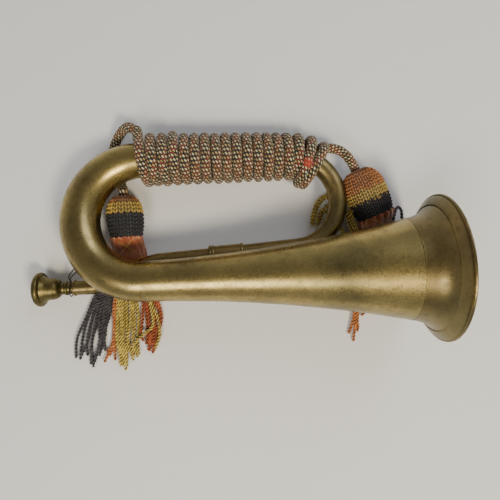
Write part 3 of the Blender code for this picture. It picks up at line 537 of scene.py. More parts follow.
def softPiece(name, verts, faces, material, ringUv):
    mesh = bpy.data.meshes.new(name)
    mesh.from_pydata([tuple(v) for v in verts], [], faces)
    piece = bpy.data.objects.new(name, mesh)
    bpy.context.scene.collection.objects.link(piece)
    layer = mesh.uv_layers.new(name="wind")
    layer.data.foreach_set("uv", np.asarray(ringUv, dtype=np.float32).ravel())
    mesh.polygons.foreach_set("use_smooth", [True] * len(mesh.polygons))
    mesh.update()
    return nameIt(piece, name, material)


# everything selected in edit mode, its doubles merged if asked, and its faces turned outwards
def turnOutwards(piece, merge=None):
    deselect()
    piece.select_set(True)
    bpy.context.view_layer.objects.active = piece
    bpy.ops.object.mode_set(mode="EDIT")
    bpy.ops.mesh.select_all(action="SELECT")
    if merge:
        bpy.ops.mesh.remove_doubles(threshold=merge)
    bpy.ops.mesh.normals_make_consistent(inside=False)
    bpy.ops.object.mode_set(mode="OBJECT")


def smooth(piece):
    deselect()
    piece.select_set(True)
    bpy.context.view_layer.objects.active = piece
    bpy.ops.object.shade_smooth_by_angle(angle=math.radians(38))
    deselect()


def routeFrames(points):
    table = np.array([list(p) for p in points], dtype=float)
    ways = np.gradient(table, axis=0)
    ways /= np.linalg.norm(ways, axis=1)[:, None]
    side = np.cross(ways[0], (0.0, 0.0, 1.0))
    if np.linalg.norm(side) < 0.2:
        side = np.cross(ways[0], (0.0, 1.0, 0.0))
    sides = [side / np.linalg.norm(side)]
    for i in range(1, len(ways)):
        side = sides[-1] - ways[i] * np.dot(sides[-1], ways[i])
        sides.append(side / np.linalg.norm(side))
    sides = np.array(sides)
    along = np.concatenate(([0.0], np.cumsum(np.linalg.norm(np.diff(table, axis=0), axis=1))))
    return table, ways, sides, np.cross(ways, sides), along


# verts, quads and uvs of a tube; swell(angle, length) scales the radius
def ropeMesh(points, radius, sides, swell):
    table, ways, one, two, along = routeFrames(points)
    angles = np.arange(sides) * math.tau / sides
    reach = radius * swell(angles[None, :], along[:, None])
    verts = table[:, None, :] + reach[:, :, None] * (
        np.cos(angles)[None, :, None] * one[:, None, :] + np.sin(angles)[None, :, None] * two[:, None, :]
    )
    faces, uvs = [], []
    for i in range(len(table) - 1):
        for j in range(sides):
            k = (j + 1) % sides
            faces.append((i * sides + j, i * sides + k, (i + 1) * sides + k, (i + 1) * sides + j))
            u0, u1 = j / sides, (j + 1) / sides
            uvs += [(u0, along[i]), (u1, along[i]), (u1, along[i + 1]), (u0, along[i + 1])]
    faces.append(tuple(range(sides - 1, -1, -1)))
    uvs += [(0.5, along[0])] * sides
    last = (len(table) - 1) * sides
    faces.append(tuple(range(last, last + sides)))
    uvs += [(0.5, along[-1])] * sides
    return verts.reshape(-1, 3), faces, uvs


# one piece from several (points, radius, sides, swell) tubes
def ropes(name, lines, material):
    verts, faces, uvs = [], [], []
    for points, radius, sides, swell in lines:
        more, quads, spots = ropeMesh(points, radius, sides, swell)
        base = len(verts)
        verts += [tuple(v) for v in more]
        faces += [tuple(base + k for k in quad) for quad in quads]
        uvs += spots
    return softPiece(name, verts, faces, material, uvs)


# turned piece: its outline of (radius, height) points is a bent circle, spun round a direction
def turned(name, outline, material, origin, direction, steps=128):
    along = Vector(direction).normalized()
    down = (Vector((0, 0, -1)) + along * along.z).normalized()
    deselect()
    bpy.ops.mesh.primitive_circle_add(vertices=len(outline), radius=0.01, location=origin, calc_uvs=False)
    piece = bpy.context.active_object
    bpy.ops.object.transform_apply(location=True, rotation=False, scale=False)
    for vertex, (radius, height) in zip(piece.data.vertices, outline):
        vertex.co = Vector(origin) + down * radius + along * height
    bpy.ops.object.mode_set(mode="EDIT")
    bpy.ops.mesh.select_all(action="SELECT")
    bpy.ops.mesh.spin(steps=steps, angle=math.tau, center=origin, axis=along)
    bpy.ops.object.mode_set(mode="OBJECT")
    turnOutwards(piece, 0.000002)
    smooth(piece)
    return nameIt(piece, name, material)


def shellOutline(outer, wall):
    return outer + [(radius - wall, height) for radius, height in reversed(outer)]


# open-ended tube from (point, radius) pairs: a grid rolled up round the route, then given its wall
def hollowTube(name, line, material, sides=64):
    points = [point + home for point, _ in line]
    reach = np.array([radius for _, radius in line])[:, None, None]
    table, _, one, two, _ = routeFrames(points)
    angles = np.arange(sides + 1) % sides * math.tau / sides
    rings = table[:, None, :] + reach * (
        np.cos(angles)[None, :, None] * one[:, None, :] + np.sin(angles)[None, :, None] * two[:, None, :]
    )
    deselect()
    bpy.ops.mesh.primitive_grid_add(
        x_subdivisions=sides, y_subdivisions=len(points) - 1, size=0.1, location=points[0], calc_uvs=False
    )
    piece = bpy.context.active_object
    bpy.ops.object.transform_apply(location=True, rotation=False, scale=False)
    piece.data.vertices.foreach_set("co", rings.ravel())
    piece.data.update()
    turnOutwards(piece, 0.000002)
    solidify = piece.modifiers.new("wall", "SOLIDIFY")
    solidify.thickness = lay["wall"]
    solidify.offset = -1.0
    bpy.context.view_layer.objects.active = piece
    bpy.ops.object.modifier_apply(modifier=solidify.name)
    smooth(piece)
    return nameIt(piece, name, material)


def dressNode(node, material):
    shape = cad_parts[node]
    shape.data.materials.clear()
    shape.data.materials.append(material)


def settle(piece, body, *nodes, slot):
    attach(piece, body)
    if nodes:
        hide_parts(*nodes)


bellDirection = Vector((math.cos(pitch), 0.0, math.sin(pitch)))
pipeDirection = Vector((math.cos(pipePitch), 0.0, math.sin(pipePitch)))
bellOrigin = home + Vector((0.0, 0.0, rimHeight))

# bell: drawn branch, spun flare, soldered band and rolled wire edge
bell = {"branchRings": 70, "flareRings": 34, "steps": 160, "dent": 0.00016, "fade": 0.02}
branchSpan = lay["branchLength"] + lay["seamX"]
places = [lay["seamX"] - branchSpan * (i / bell["branchRings"]) for i in range(bell["branchRings"] + 1)]
outer = shellOutline([(branchRadius(x), x / math.cos(pitch)) for x in places], lay["wall"])
branch = turned("bell_branch_skin", outer, bodyBrass, bellOrigin, bellDirection, bell["steps"])
for vertex in branch.data.vertices:
    push = noise.noise(vertex.co * 42.0) + 0.5 * noise.noise(vertex.co * 95.0)
    centre = bellOrigin + bellDirection * (vertex.co - bellOrigin).dot(bellDirection)
    fromSeam = home.x + lay["seamX"] - vertex.co.x
    fromBow = vertex.co.x - home.x + lay["branchLength"]
    fade = min(1.0, fromSeam / bell["fade"], fromBow / bell["fade"])
    vertex.co -= (vertex.co - centre).normalized() * bell["dent"] * abs(push) * max(fade, 0.0)
settle(branch, "bugle", "bell_branch", slot="brass")

places = [lay["seamX"] * (i / bell["flareRings"]) ** 1.3 for i in range(bell["flareRings"] + 1)]
outer = shellOutline([(flareRadius(x), x) for x in places], lay["wall"])
flare = turned("bell_flare_skin", outer, flareBrass, bellOrigin, bellDirection, bell["steps"])
settle(flare, "bugle", "bell_flare", slot="brass")

band = {"width": 0.0048, "proud": 0.0007, "rings": 14}
outer = []
for i in range(band["rings"] + 1):
    share = i / band["rings"]
    x = -0.0003 - band["width"] * share
    edge = min(share, 1 - share) * band["rings"] / 1.6
    proud = band["proud"] * (0.55 + 0.45 * math.sin(math.pi * share)) * min(1.0, 0.35 + edge)
    outer.append((flareRadius(x) + 0.00003, x - 0.0003 - proud))
inner = []
for i in range(6, -1, -1):
    x = -0.0003 - band["width"] * i / 6
    inner.append((flareRadius(x) - 0.0001, x + 0.0001))
rimBand = turned("bell_rim_band_skin", outer + inner, flareBrass, bellOrigin, bellDirection, bell["steps"])
settle(rimBand, "bugle", "bell_rim_band", slot="brass")

section = []
for i in range(20):
    angle = math.tau * i / 20
    section.append(
        (
            lay["rimRadius"] - lay["rimWire"] + lay["rimWire"] * math.cos(angle),
            lay["rimWire"] * 0.85 + lay["rimWire"] * math.sin(angle),
        )
    )
rimWire = turned("bell_rim_wire_skin", section, flareBrass, bellOrigin, bellDirection, bell["steps"])
settle(rimWire, "bugle", "bell_rim_wire", slot="brass")

# soft-soldered lap where the flare meets the branch
seam = {"width": 0.0016, "proud": 0.00032, "sunk": 0.0003}
lap = []
for i in range(7):
    radius = branchRadius(lay["seamX"]) - seam["sunk"] + seam["proud"] * math.sin(math.pi * i / 6)
    lap.append((radius, lay["seamX"] - seam["width"] * i / 6 + 0.0002))
lapRing = turned("bell_seam", lap, cupBrass, bellOrigin, bellDirection, bell["steps"])
settle(lapRing, "bugle", slot="brass")
print("bell ready")

# tubes
tubes = {"bowRings": 120, "pipeRings": 140, "ripple": 0.0001}
bowShares = [i / tubes["bowRings"] for i in range(tubes["bowRings"] + 1)]
pipeShares = [i / tubes["pipeRings"] for i in range(tubes["pipeRings"] + 1)]
leftBow = hollowTube("left_bow_skin", [leftBowPoint(share) for share in bowShares], bodyBrass, 80)
for vertex in leftBow.data.vertices:
    vertex.co.z += tubes["ripple"] * noise.noise(vertex.co * 55.0)
settle(leftBow, "bugle", "left_bow", slot="brass")
rightBow = hollowTube("right_bow_skin", [rightBowPoint(share) for share in bowShares], pipeBrass, 56)
settle(rightBow, "bugle", "right_bow", slot="brass")
mouthPipe = hollowTube("mouthpipe_skin", [pipePoint(share) for share in pipeShares], pipeBrass, 48)
settle(mouthPipe, "bugle", "mouthpipe", slot="brass")

sleeve = {"x": -0.1650, "length": 0.0290, "wall": 0.0007, "bead": 0.0007}
middle, _ = pipePoint(pipeShare(sleeve["x"]))
after, widest = pipePoint(pipeShare(sleeve["x"] + sleeve["length"] / 2))
body = widest + 0.0003 + sleeve["wall"]
half = sleeve["length"] / 2
outline = [(widest + 0.0001, half), (body - 0.0002, half)]
for centre, width in ((half - 0.0012, 0.0011), (-half + 0.0036, 0.0010), (-half + 0.0012, 0.0011)):
    for i in range(9):
        angle = math.pi * i / 8
        outline.append((body + sleeve["bead"] * math.sin(angle), centre + width * math.cos(angle)))
outline += [(body - 0.0002, -half), (widest + 0.0001, -half)]
pipeSleeve = turned("pipe_sleeve_skin", outline, pipeBrass, middle + home, after - middle, 72)
settle(pipeSleeve, "bugle", "pipe_sleeve", slot="brass")

# receiver: a short sleeve with a bead at its mouth, (radius, height) from that mouth
receiver = [(0.0049, 0.0178), (0.0057, 0.0178), (0.0060, 0.0172), (0.0061, 0.0165), (0.0060, 0.0060)]
receiver += [(0.0061, 0.0019), (0.0065, 0.0017), (0.0067, 0.0012), (0.0067, 0.0006), (0.0064, 0.0002)]
receiver += [(0.0060, 0.0), (0.0049, 0.0)]
receiverOrigin = home + Vector((receiverX + 0.0003, lay["cupSide"], pipeHeight(receiverX + 0.0003)))
receiverPiece = turned("receiver_skin", receiver, pipeBrass, receiverOrigin, pipeDirection, 72)
settle(receiverPiece, "bugle", "mouthpiece_receiver", slot="brass")

smallBrass = ["top_tube", "left_ferrule", "right_ferrule", "front_stay", "rear_stay"]
for node in smallBrass + ["bow_saddle", "keeper_eye"]:
    dressNode(node, pipeBrass)
dressNode("keeper_wire", wireIron)
for node in ("left_core", "right_core"):
    dressNode(node, mouldWood)
print("tubes ready")

# mouthpiece: turned, with a cushioned rim, a bowl, two collars and a tapered shank
cup = {
    "rim": 0.0144,
    "face": 0.0034,
    "back": 0.0022,
    "bowl": 0.0091,
    "neck": 0.0046,
    "throat": 0.0019,
    "mouth": 0.0086,
    "top": -0.0024,
    "bottom": 0.0152,
}
outline = [(0.0041, 0.0437), (0.0046, 0.0276), (0.0049, 0.0272), (0.0050, 0.0268), (0.0050, 0.0228)]
outline += [(0.0053, 0.0226), (0.0057, 0.0223), (0.0058, 0.0218), (0.0058, 0.0208), (0.0056, 0.0204)]
outline += [(0.0050, 0.0201), (0.0048, 0.0199), (0.0050, 0.0196), (0.0052, 0.0190), (0.0052, 0.0180)]
outline += [(0.0050, 0.0175), (0.0047, 0.0171)]
for i in range(13):
    angle = math.pi / 2 * i / 12
    swelling = (cup["bowl"] - cup["neck"]) * math.sin(angle) ** 0.9
    outline.append((cup["neck"] + swelling, 0.0162 - 0.0076 * (1 - math.cos(angle))))
outline += [(cup["bowl"] + 0.0001, 0.0072), (cup["bowl"] + 0.0004, 0.0058), (cup["bowl"] + 0.0010, 0.0043)]
outline += [(cup["bowl"] + 0.0018, 0.0031)]
for i in range(17):
    angle = math.pi / 2 - math.pi * i / 16
    depth = cup["back"] if angle > 0 else cup["face"]
    outline.append((cup["rim"] - cup["face"] * (1 - math.cos(angle)) * 0.9, depth * math.sin(angle)))
for i in range(15):
    share = i / 14
    opening = (cup["mouth"] - cup["throat"]) * math.sqrt(1 - share * share)
    outline.append((cup["throat"] + opening, cup["top"] + (cup["bottom"] - cup["top"]) * share))
outline.append((0.0030, 0.0437))
cupOrigin = home + Vector((-lay["cupReach"], lay["cupSide"], lay["cupRadius"]))
mouthpiece = turned("mouthpiece_skin", outline, cupBrass, cupOrigin, pipeDirection, 96)
settle(mouthpiece, "mouthpiece", "mouthpiece", slot="dark_brass")
print("mouthpiece ready")


# cord wrapped on the grip: one long braided cord in close leaning turns
wrap = {
    "turns": 17.56,
    "start": 0.0006,  # first turn's middle, from the grip's left end
    "past": 0.0266,  # last turn's middle, past the joint with the right bow
    "from": 55.0,  # degrees round the grip where the free cord joins, 0 is outwards and 90 is up
    "perTurn": 96,
    "sides": 20,
    "firstLean": 0.0006,
    "lean": -0.0013,
}
tubeLength = lay["branchLength"] + lay["rightBowX"]
leftRoute = [
    (-0.2335, 0.1222, 0.0290),
    (-0.2380, 0.1253, 0.0262),
    (-0.2430, 0.1278, 0.0205),
    (-0.2488, 0.1262, 0.0135),
    (-0.2545, 0.1205, 0.0082),
    (-0.2582, 0.1120, 0.0054),
    (-0.2584, 0.1030, 0.0047),
    (-0.2566, 0.0940, 0.0048),
    (-0.2538, 0.0855, 0.0064),
    (-0.2509, 0.0788, 0.0108),
]


# middle of the gripped tube, the outward side, and the winding's outer radius, at s from its left end
def gripPoint(s):
    if s <= tubeLength:
        x = -lay["branchLength"] + s
        share = 1 - s / tubeLength
        radius = lay["wrapRight"] + (lay["wrapLeft"] - lay["wrapRight"]) * min(share, 1.0)
        return Vector((x, lay["loopWidth"], radius)), Vector((0.0, 1.0, 0.0)), radius
    share = 1 - (s - tubeLength) / (math.pi * lay["rightBowBend"])
    angle = math.pi * (share - 0.5)
    point, _ = rightBowPoint(share)
    past = (s - tubeLength) / wrap["past"]
    radius = min(lay["wrapRight"] - 0.0002 * past, point.z - 0.0002)
    return point, Vector((math.cos(angle), math.sin(angle), 0.0)), radius


def windPoint(whole):
    angle = math.radians(wrap["from"]) + math.tau * whole
    share = whole / wrap["turns"]
    lean = wrap["firstLean"] + (wrap["lean"] - wrap["firstLean"]) * smoothStep(whole / 3.0)
    s = wrap["start"] + (tubeLength + wrap["past"] - wrap["start"]) * share - lean * math.cos(angle)
    s += 0.0006 * noise.noise(Vector((whole * 1.7, 0.0, 3.1)))
    centre, outward, radius = gripPoint(s)
    lift = 0.0030 * math.exp(-(((s - 0.0240) / 0.0034) ** 2)) * max(0.0, math.cos(angle - math.radians(25.0)))
    lift += 0.0058 * smoothStep((s - tubeLength - 0.006) / 0.008) * max(0.0, -math.cos(angle))
    lift += 0.0007 * noise.noise(Vector((whole * 1.3, math.sin(angle), 7.7)))
    reachOut = radius - lay["cord"] + lift
    point = centre + outward * (reachOut * math.cos(angle)) + Vector((0, 0, reachOut * math.sin(angle)))
    point.z = max(point.z, lay["cord"] + 0.0001)
    return point + home


wrapCount = int(wrap["turns"] * wrap["perTurn"])
wrapLine = [windPoint(wrap["turns"] * i / wrapCount) for i in range(wrapCount + 1)]
joined = [Vector(leftRoute[0]) + home, wrapLine[0]]
joined.insert(0, joined[0].lerp(Vector(leftRoute[1]) + home, 0.25))
wrapLine = smoothRoute(joined, 26)[:-1] + wrapLine


def braidSwell(pattern, depth):
    def swell(angles, along):
        ringwise = angles / math.tau * pattern["around"] + along * pattern["perMetre"] * pattern["skew"]
        one = ringwise + along * pattern["perMetre"]
        other = ringwise - along * pattern["perMetre"]
        flip = np.mod(np.floor(one) + np.floor(other), 2)
        a = np.sin(np.pi * np.mod(one, 1.0))
        b = np.sin(np.pi * np.mod(other, 1.0))
        dome = np.where(flip < 1, a * (0.3 + 0.7 * b), b * (0.3 + 0.7 * a))
        return 1.0 - depth + depth * dome

    return swell


cordSwell = braidSwell(cordPattern, 0.08)
cordWrap = ropes("cord_wrap_braid", [(wrapLine, lay["cord"] + 0.0001, wrap["sides"], cordSwell)], cordYarn)
settle(cordWrap, "bugle", "cord_wrap", "cord_end_turns", slot="cord_yarn")
print("wrap ready:", wrap["turns"], "turns,", len(wrapLine), "rings")


# tassels: knitted knob over a wooden mould, satin skirt, twisted strands that end in loops
knobs = {
    "left": {"top": (-0.2493, 0.0712), "heading": 1.5, "radius": 0.0149, "length": 0.0352, "skirt": 0.0190},
    "right": {"top": (-0.0487, 0.0856), "heading": 22.0, "radius": 0.0182, "length": 0.0425, "skirt": 0.0200},
}


def knobAway(knob):
    heading = math.radians(knob["heading"])
    return Vector((math.sin(heading), -math.cos(heading), 0.0))


def knobPoint(knob, depth):
    return Vector((*knob["top"], knob["radius"] + 0.0004)) + knobAway(knob) * depth


def knobRadius(knob, share):
    hole = 0.0050
    crown = math.sqrt(max(0.0, 1 - (1 - min(share / 0.42, 1.0)) ** 2))
    waist = 1 - 0.16 * max(0.0, (share - 0.55) / 0.45) ** 2
    radius = hole + (knob["radius"] - hole) * crown
    return radius * waist if share > 0.42 else radius


def knitCover(name, knob, material, pattern):
    stitches, rowsPerMetre = pattern["stitches"], pattern["rowsPerMetre"]
    away = knobAway(knob)
    across = Vector((-away.y, away.x, 0.0))
    origin = knobPoint(knob, 0.0) + home
    around, rings = int(stitches) * 8, 150
    profile = [(knobRadius(knob, i / rings), knob["length"] * i / rings) for i in range(rings + 1)]
    lengths = [0.0]
    for a, b in zip(profile, profile[1:]):
        lengths.append(lengths[-1] + math.dist(a, b))
    verts, faces, uvs = [], [], []
    for (radius, depth), length in zip(profile, lengths):
        for j in range(around):
            legs = abs(stitches * j / around % 1.0 - 0.5)
            rows = depth * rowsPerMetre + 1.3 * legs
            dome = math.sin(math.tau * legs) * math.sin(math.pi * (rows % 1.0))
            uneven = noise.noise(Vector((j * 0.2, depth * 300, radius * 50)))
            reach = radius - 0.0006 + 0.0013 * dome + 0.0003 * uneven
            angle = math.tau * j / around
            spot = origin + away * depth + across * (reach * math.cos(angle))
            verts.append(spot + Vector((0, 0, reach * math.sin(angle))))
    for i in range(rings):
        for j in range(around):
            k = (j + 1) % around
            faces.append((i * around + j, i * around + k, (i + 1) * around + k, (i + 1) * around + j))
            u0, u1 = j / around, (j + 1) / around
            d0, d1 = profile[i][1], profile[i + 1][1]
            uvs += [(u0, d0), (u1, d0), (u1, d1), (u0, d1)]
    faces.append(tuple(range(around)))
    uvs += [(0.5, 0.0)] * around
    last = rings * around
    faces.append(tuple(range(last, last + around)))
    uvs += [(0.5, profile[-1][1])] * around
    piece = softPiece(name, verts, faces, material, uvs)
    turnOutwards(piece)
    smooth(piece)
    return piece


def satinSkirt(name, knob, material, pleats):
    away = knobAway(knob)
    across = Vector((-away.y, away.x, 0.0))
    start = Vector((*knob["top"], 0.0)) + away * (knob["length"] - 0.0006) + home
    around, rings = pleats * 8, 26
    endHalf = 0.0034
    verts, faces, uvs = [], [], []
    for i in range(rings + 1):
        share = i / rings
        narrow = smoothStep(share)
        high = knob["radius"] * 0.84 * (1 - narrow) + endHalf * narrow
        wide = knob["radius"] * (0.86 + 0.06 * share)
        middle = (knob["radius"] + 0.0004) * (1 - narrow) + (endHalf + 0.0004) * narrow
        for j in range(around):
            angle = math.tau * j / around
            fold = 1 + 0.05 * math.sin(angle * pleats + share * 1.5) + 0.02 * math.sin(angle * pleats * 2.6)
            point = start + away * ((knob["skirt"] + 0.0006) * share)
            point += across * (wide * fold * math.cos(angle))
            point.z += middle + high * fold * math.sin(angle)
            point.z = max(point.z, 0.0003)
            verts.append(point)
    for i in range(rings):
        for j in range(around):
            k = (j + 1) % around
            faces.append((i * around + j, i * around + k, (i + 1) * around + k, (i + 1) * around + j))
            u0, u1 = j / around, (j + 1) / around
            v0, v1 = i / rings * knob["skirt"], (i + 1) / rings * knob["skirt"]
            uvs += [(u0, v0), (u1, v0), (u1, v1), (u0, v1)]
    faces.append(tuple(range(around)))
    uvs += [(0.5, 0.0)] * around
    last = rings * around
    faces.append(tuple(range(last, last + around)))
    uvs += [(0.5, knob["skirt"])] * around
    piece = softPiece(name, verts, faces, material, uvs)
    turnOutwards(piece)
    smooth(piece)
    return piece


# two plies twisted together: the section is a figure of eight that turns along the strand
def twistSwell(perMetre):
    def swell(angles, along):
        lobes = np.abs(np.cos(angles - along * perMetre * math.pi))
        return np.maximum(0.52, lobes)

    return swell


def strand(points, radius):
    rough = [Vector(p) + home for p in points]
    span = sum((b - a).length for a, b in zip(rough, rough[1:]))
    return smoothRoute(rough, int(span / 0.00045)), radius, 12, twistSwell(strandTwist)


def fringe(name, material, routes, node, slot, radius=0.0015):
    piece = ropes(name, [strand(route, radius) for route in routes], material)
    settle(piece, "bugle", *([node] if node else []), slot=slot)


# strands that leave the skirt side by side and wander to given ends
def fan(startA, startB, routesBack, count, seed, height=0.0021):
    routes = []
    for i in range(count):
        share = (i + 0.5) / count
        start = Vector(startA).lerp(Vector(startB), share)
        place = share * (len(routesBack) - 1)
        low = min(int(place), len(routesBack) - 2)
        mix = place - low
        points = [Vector((*start, 0.0040))]
        steps = len(routesBack[0])
        for k in range(steps):
            a, b = Vector(routesBack[low][k]), Vector(routesBack[low + 1][k])
            spot = a.lerp(b, mix)
            wander = 0.0034 * (k + 1) / steps
            spot.x += wander * noise.noise(Vector((seed + i * 3.7, k * 2.1, 0.0))) * 2
            spot.y += wander * noise.noise(Vector((seed + i * 2.9, k * 1.3, 9.0))) * 2 * (k == steps - 1) * 2
            points.append(Vector((spot.x, spot.y, height + 0.0018 * ((i + k // 2) % 2))))
        routes.append(points)
    return routes


def skirtCorner(knob, side):
    away = knobAway(knob)
    across = Vector((-away.y, away.x, 0.0))
    spot = knobPoint(knob, knob["length"] + knob["skirt"] - 0.0012) + across * (knob["radius"] * 0.92 * side)
    return spot.x, spot.y


left, rightKnob = knobs["left"], knobs["right"]
leftCover = knitCover("left_knob_knit", left, leftKnit, leftKnitPattern)
settle(leftCover, "bugle", "left_knit_cover", slot="knit_yarn")
leftSatin = satinSkirt("left_skirt_satin", left, rustSatin, 14)
settle(leftSatin, "bugle", "left_skirt", slot="red_satin")
blackRoutes = fan(
    skirtCorner(left, -0.95),
    skirtCorner(left, -0.45),
    [
        [(-0.2640, 0.0030), (-0.2800, -0.0100), (-0.2890, -0.0300), (-0.2950, -0.0480), (-0.2982, -0.0625)],
        [(-0.2600, 0.0020), (-0.2740, -0.0120), (-0.2830, -0.0340), (-0.2870, -0.0530), (-0.2905, -0.0690)],
        [(-0.2590, 0.0010), (-0.2700, -0.0130), (-0.2740, -0.0350), (-0.2790, -0.0540), (-0.2830, -0.0670)],
        [(-0.2580, 0.0010), (-0.2660, -0.0130), (-0.2690, -0.0300), (-0.2725, -0.0440), (-0.2760, -0.0560)],
    ],
    11,
    1.0,
)
fringe("left_strands_black", blackYarn, blackRoutes, "left_fringe_black", slot="black_yarn")
yellowRoutes = fan(
    skirtCorner(left, -0.40),
    skirtCorner(left, 0.28),
    [
        [(-0.2580, 0.0030), (-0.2620, -0.0130), (-0.2628, -0.0350), (-0.2635, -0.0530), (-0.2625, -0.0735)],
        [(-0.2530, 0.0030), (-0.2570, -0.0130), (-0.2575, -0.0350), (-0.2580, -0.0530), (-0.2560, -0.0725)],
        [(-0.2470, 0.0030), (-0.2438, -0.0130), (-0.2436, -0.0350), (-0.2445, -0.0530), (-0.2440, -0.0660)],
    ],
    12,
    2.0,
)
loopOver = [
    (*skirtCorner(left, 0.45), 0.0048),
    (-0.2395, 0.0040, 0.0060),
    (-0.2345, -0.0150, 0.0058),
    (-0.2312, -0.0350, 0.0058),
    (-0.2330, -0.0430, 0.0060),
    (-0.2400, -0.0480, 0.0064),
    (-0.2480, -0.0550, 0.0062),
    (-0.2510, -0.0590, 0.0050),
]
outerYellow = [
    (*skirtCorner(left, 0.70), 0.0048),
    (-0.2360, 0.0020, 0.0056),
    (-0.2330, -0.0180, 0.0054),
    (-0.2270, -0.0360, 0.0050),
    (-0.2262, -0.0500, 0.0050),
    (-0.2310, -0.0620, 0.0040),
]
yellowRoutes += [loopOver, outerYellow]
fringe("left_strands_yellow", yellowYarn, yellowRoutes, "left_fringe_yellow", slot="yellow_yarn")
redRoutes = fan(
    skirtCorner(left, 0.34),
    skirtCorner(left, 0.95),
    [
        [(-0.2430, 0.0030), (-0.2405, -0.0130), (-0.2405, -0.0350), (-0.2425, -0.0480), (-0.2440, -0.0560)],
        [(-0.2400, 0.0020), (-0.2345, -0.0140), (-0.2290, -0.0340), (-0.2320, -0.0500), (-0.2350, -0.0630)],
        [(-0.2370, 0.0010), (-0.2270, -0.0160), (-0.2235, -0.0330), (-0.2260, -0.0470), (-0.2310, -0.0620)],
    ],
    8,
    3.0,
)
orangeRoutes = fan(
    skirtCorner(left, -0.46),
    skirtCorner(left, -0.38),
    [
        [(-0.2590, 0.0010), (-0.2640, -0.0200), (-0.2660, -0.0420), (-0.2690, -0.0560), (-0.2745, -0.0660)],
        [(-0.2580, 0.0010), (-0.2630, -0.0200), (-0.2645, -0.0420), (-0.2655, -0.0560), (-0.2665, -0.0670)],
    ],
    4,
    8.0,
)
fringe("left_strands_red", redYarn, redRoutes, "left_fringe_red", slot="red_yarn")
fringe("left_strands_orange", orangeYarn, orangeRoutes, None, slot="red_yarn", radius=0.0014)

rightCover = knitCover("right_knob_knit", rightKnob, rightKnit, rightKnitPattern)
settle(rightCover, "bugle", "right_knit_cover", slot="knit_yarn")
rightSatin = satinSkirt("right_skirt_satin", rightKnob, rustSatin, 16)
settle(rightSatin, "bugle", "right_skirt", slot="red_satin")
rightYellow = fan(
    skirtCorner(rightKnob, -0.95),
    skirtCorner(rightKnob, -0.55),
    [
        [(-0.0480, 0.0240), (-0.0590, 0.0340), (-0.0650, 0.0440), (-0.0690, 0.0540), (-0.0742, 0.0575)],
        [(-0.0470, 0.0200), (-0.0570, 0.0320), (-0.0630, 0.0460), (-0.0670, 0.0620), (-0.0742, 0.0650)],
    ],
    2,
    4.0,
)
rightYellow += [  # two loose bunches that come out under the bow
    [
        (-0.0692, 0.0690, 0.0030),
        (-0.0742, 0.0664, 0.0040),
        (-0.0801, 0.0620, 0.0045),
        (-0.0834, 0.0559, 0.0040),
        (-0.0855, 0.0488, 0.0035),
        (-0.0867, 0.0407, 0.0030),
    ],
    [
        (-0.0683, 0.0654, 0.0025),
        (-0.0740, 0.0638, 0.0025),
        (-0.0788, 0.0586, 0.0026),
        (-0.0819, 0.0523, 0.0026),
        (-0.0841, 0.0452, 0.0025),
        (-0.0852, 0.0398, 0.0025),
    ],
    [
        (-0.0698, 0.0564, 0.0030),
        (-0.0750, 0.0545, 0.0050),
        (-0.0793, 0.0511, 0.0050),
        (-0.0807, 0.0458, 0.0040),
        (-0.0816, 0.0396, 0.0026),
    ],
    [
        (-0.0699, 0.0528, 0.0025),
        (-0.0755, 0.0512, 0.0024),
        (-0.0775, 0.0467, 0.0024),
        (-0.0796, 0.0423, 0.0024),
    ],
]
rightYellow += [  # three more beside the skirt
    [
        (-0.0500, 0.0540, 0.0170),
        (-0.0559, 0.0509, 0.0170),
        (-0.0550, 0.0456, 0.0160),
        (-0.0525, 0.0396, 0.0130),
        (-0.0482, 0.0333, 0.0100),
        (-0.0442, 0.0269, 0.0080),
    ],
    [
        (-0.0500, 0.0520, 0.0200),
        (-0.0555, 0.0487, 0.0210),
        (-0.0536, 0.0435, 0.0200),
        (-0.0503, 0.0374, 0.0170),
        (-0.0460, 0.0312, 0.0140),
    ],
    [
        (-0.0505, 0.0530, 0.0120),
        (-0.0562, 0.0496, 0.0120),
        (-0.0553, 0.0434, 0.0110),
        (-0.0532, 0.0371, 0.0090),
        (-0.0495, 0.0307, 0.0080),
    ],
]
fringe("right_strands_yellow", yellowYarn, rightYellow, "right_fringe_yellow", slot="yellow_yarn")
rightRed = fan(
    skirtCorner(rightKnob, -0.36),
    skirtCorner(rightKnob, 0.25),
    [
        [(-0.0350, 0.0080), (-0.0430, -0.0120), (-0.0510, -0.0300), (-0.0540, -0.0450), (-0.0560, -0.0590)],
        [(-0.0310, 0.0060), (-0.0380, -0.0120), (-0.0450, -0.0300), (-0.0490, -0.0470), (-0.0520, -0.0620)],
        [(-0.0270, 0.0040), (-0.0320, -0.0120), (-0.0390, -0.0300), (-0.0430, -0.0400), (-0.0460, -0.0430)],
    ],
    6,
    5.0,
)
fringe("right_strands_orange", orangeYarn, rightRed, "right_fringe_red", slot="red_yarn")
rightBlack = fan(
    skirtCorner(rightKnob, 0.29),
    skirtCorner(rightKnob, 0.90),
    [
        [(-0.0210, 0.0120), (-0.0240, -0.0020), (-0.0290, -0.0160), (-0.0300, -0.0240)],
        [(-0.0160, 0.0120), (-0.0180, -0.0020), (-0.0230, -0.0160), (-0.0250, -0.0240)],
    ],
    5,
    6.0,
)
blackLoop = [
    (*skirtCorner(rightKnob, 0.60), 0.0120),
    (-0.0180, 0.0330, 0.0180),
    (-0.0165, 0.0450, 0.0200),
    (-0.0120, 0.0525, 0.0170),
    (-0.0065, 0.0490, 0.0120),
    (-0.0060, 0.0400, 0.0090),
    (-0.0115, 0.0320, 0.0080),
]
rightBlack.append(blackLoop)
fringe("right_strands_black", blackYarn, rightBlack, "right_fringe_black", slot="black_yarn")
print("tassels ready")

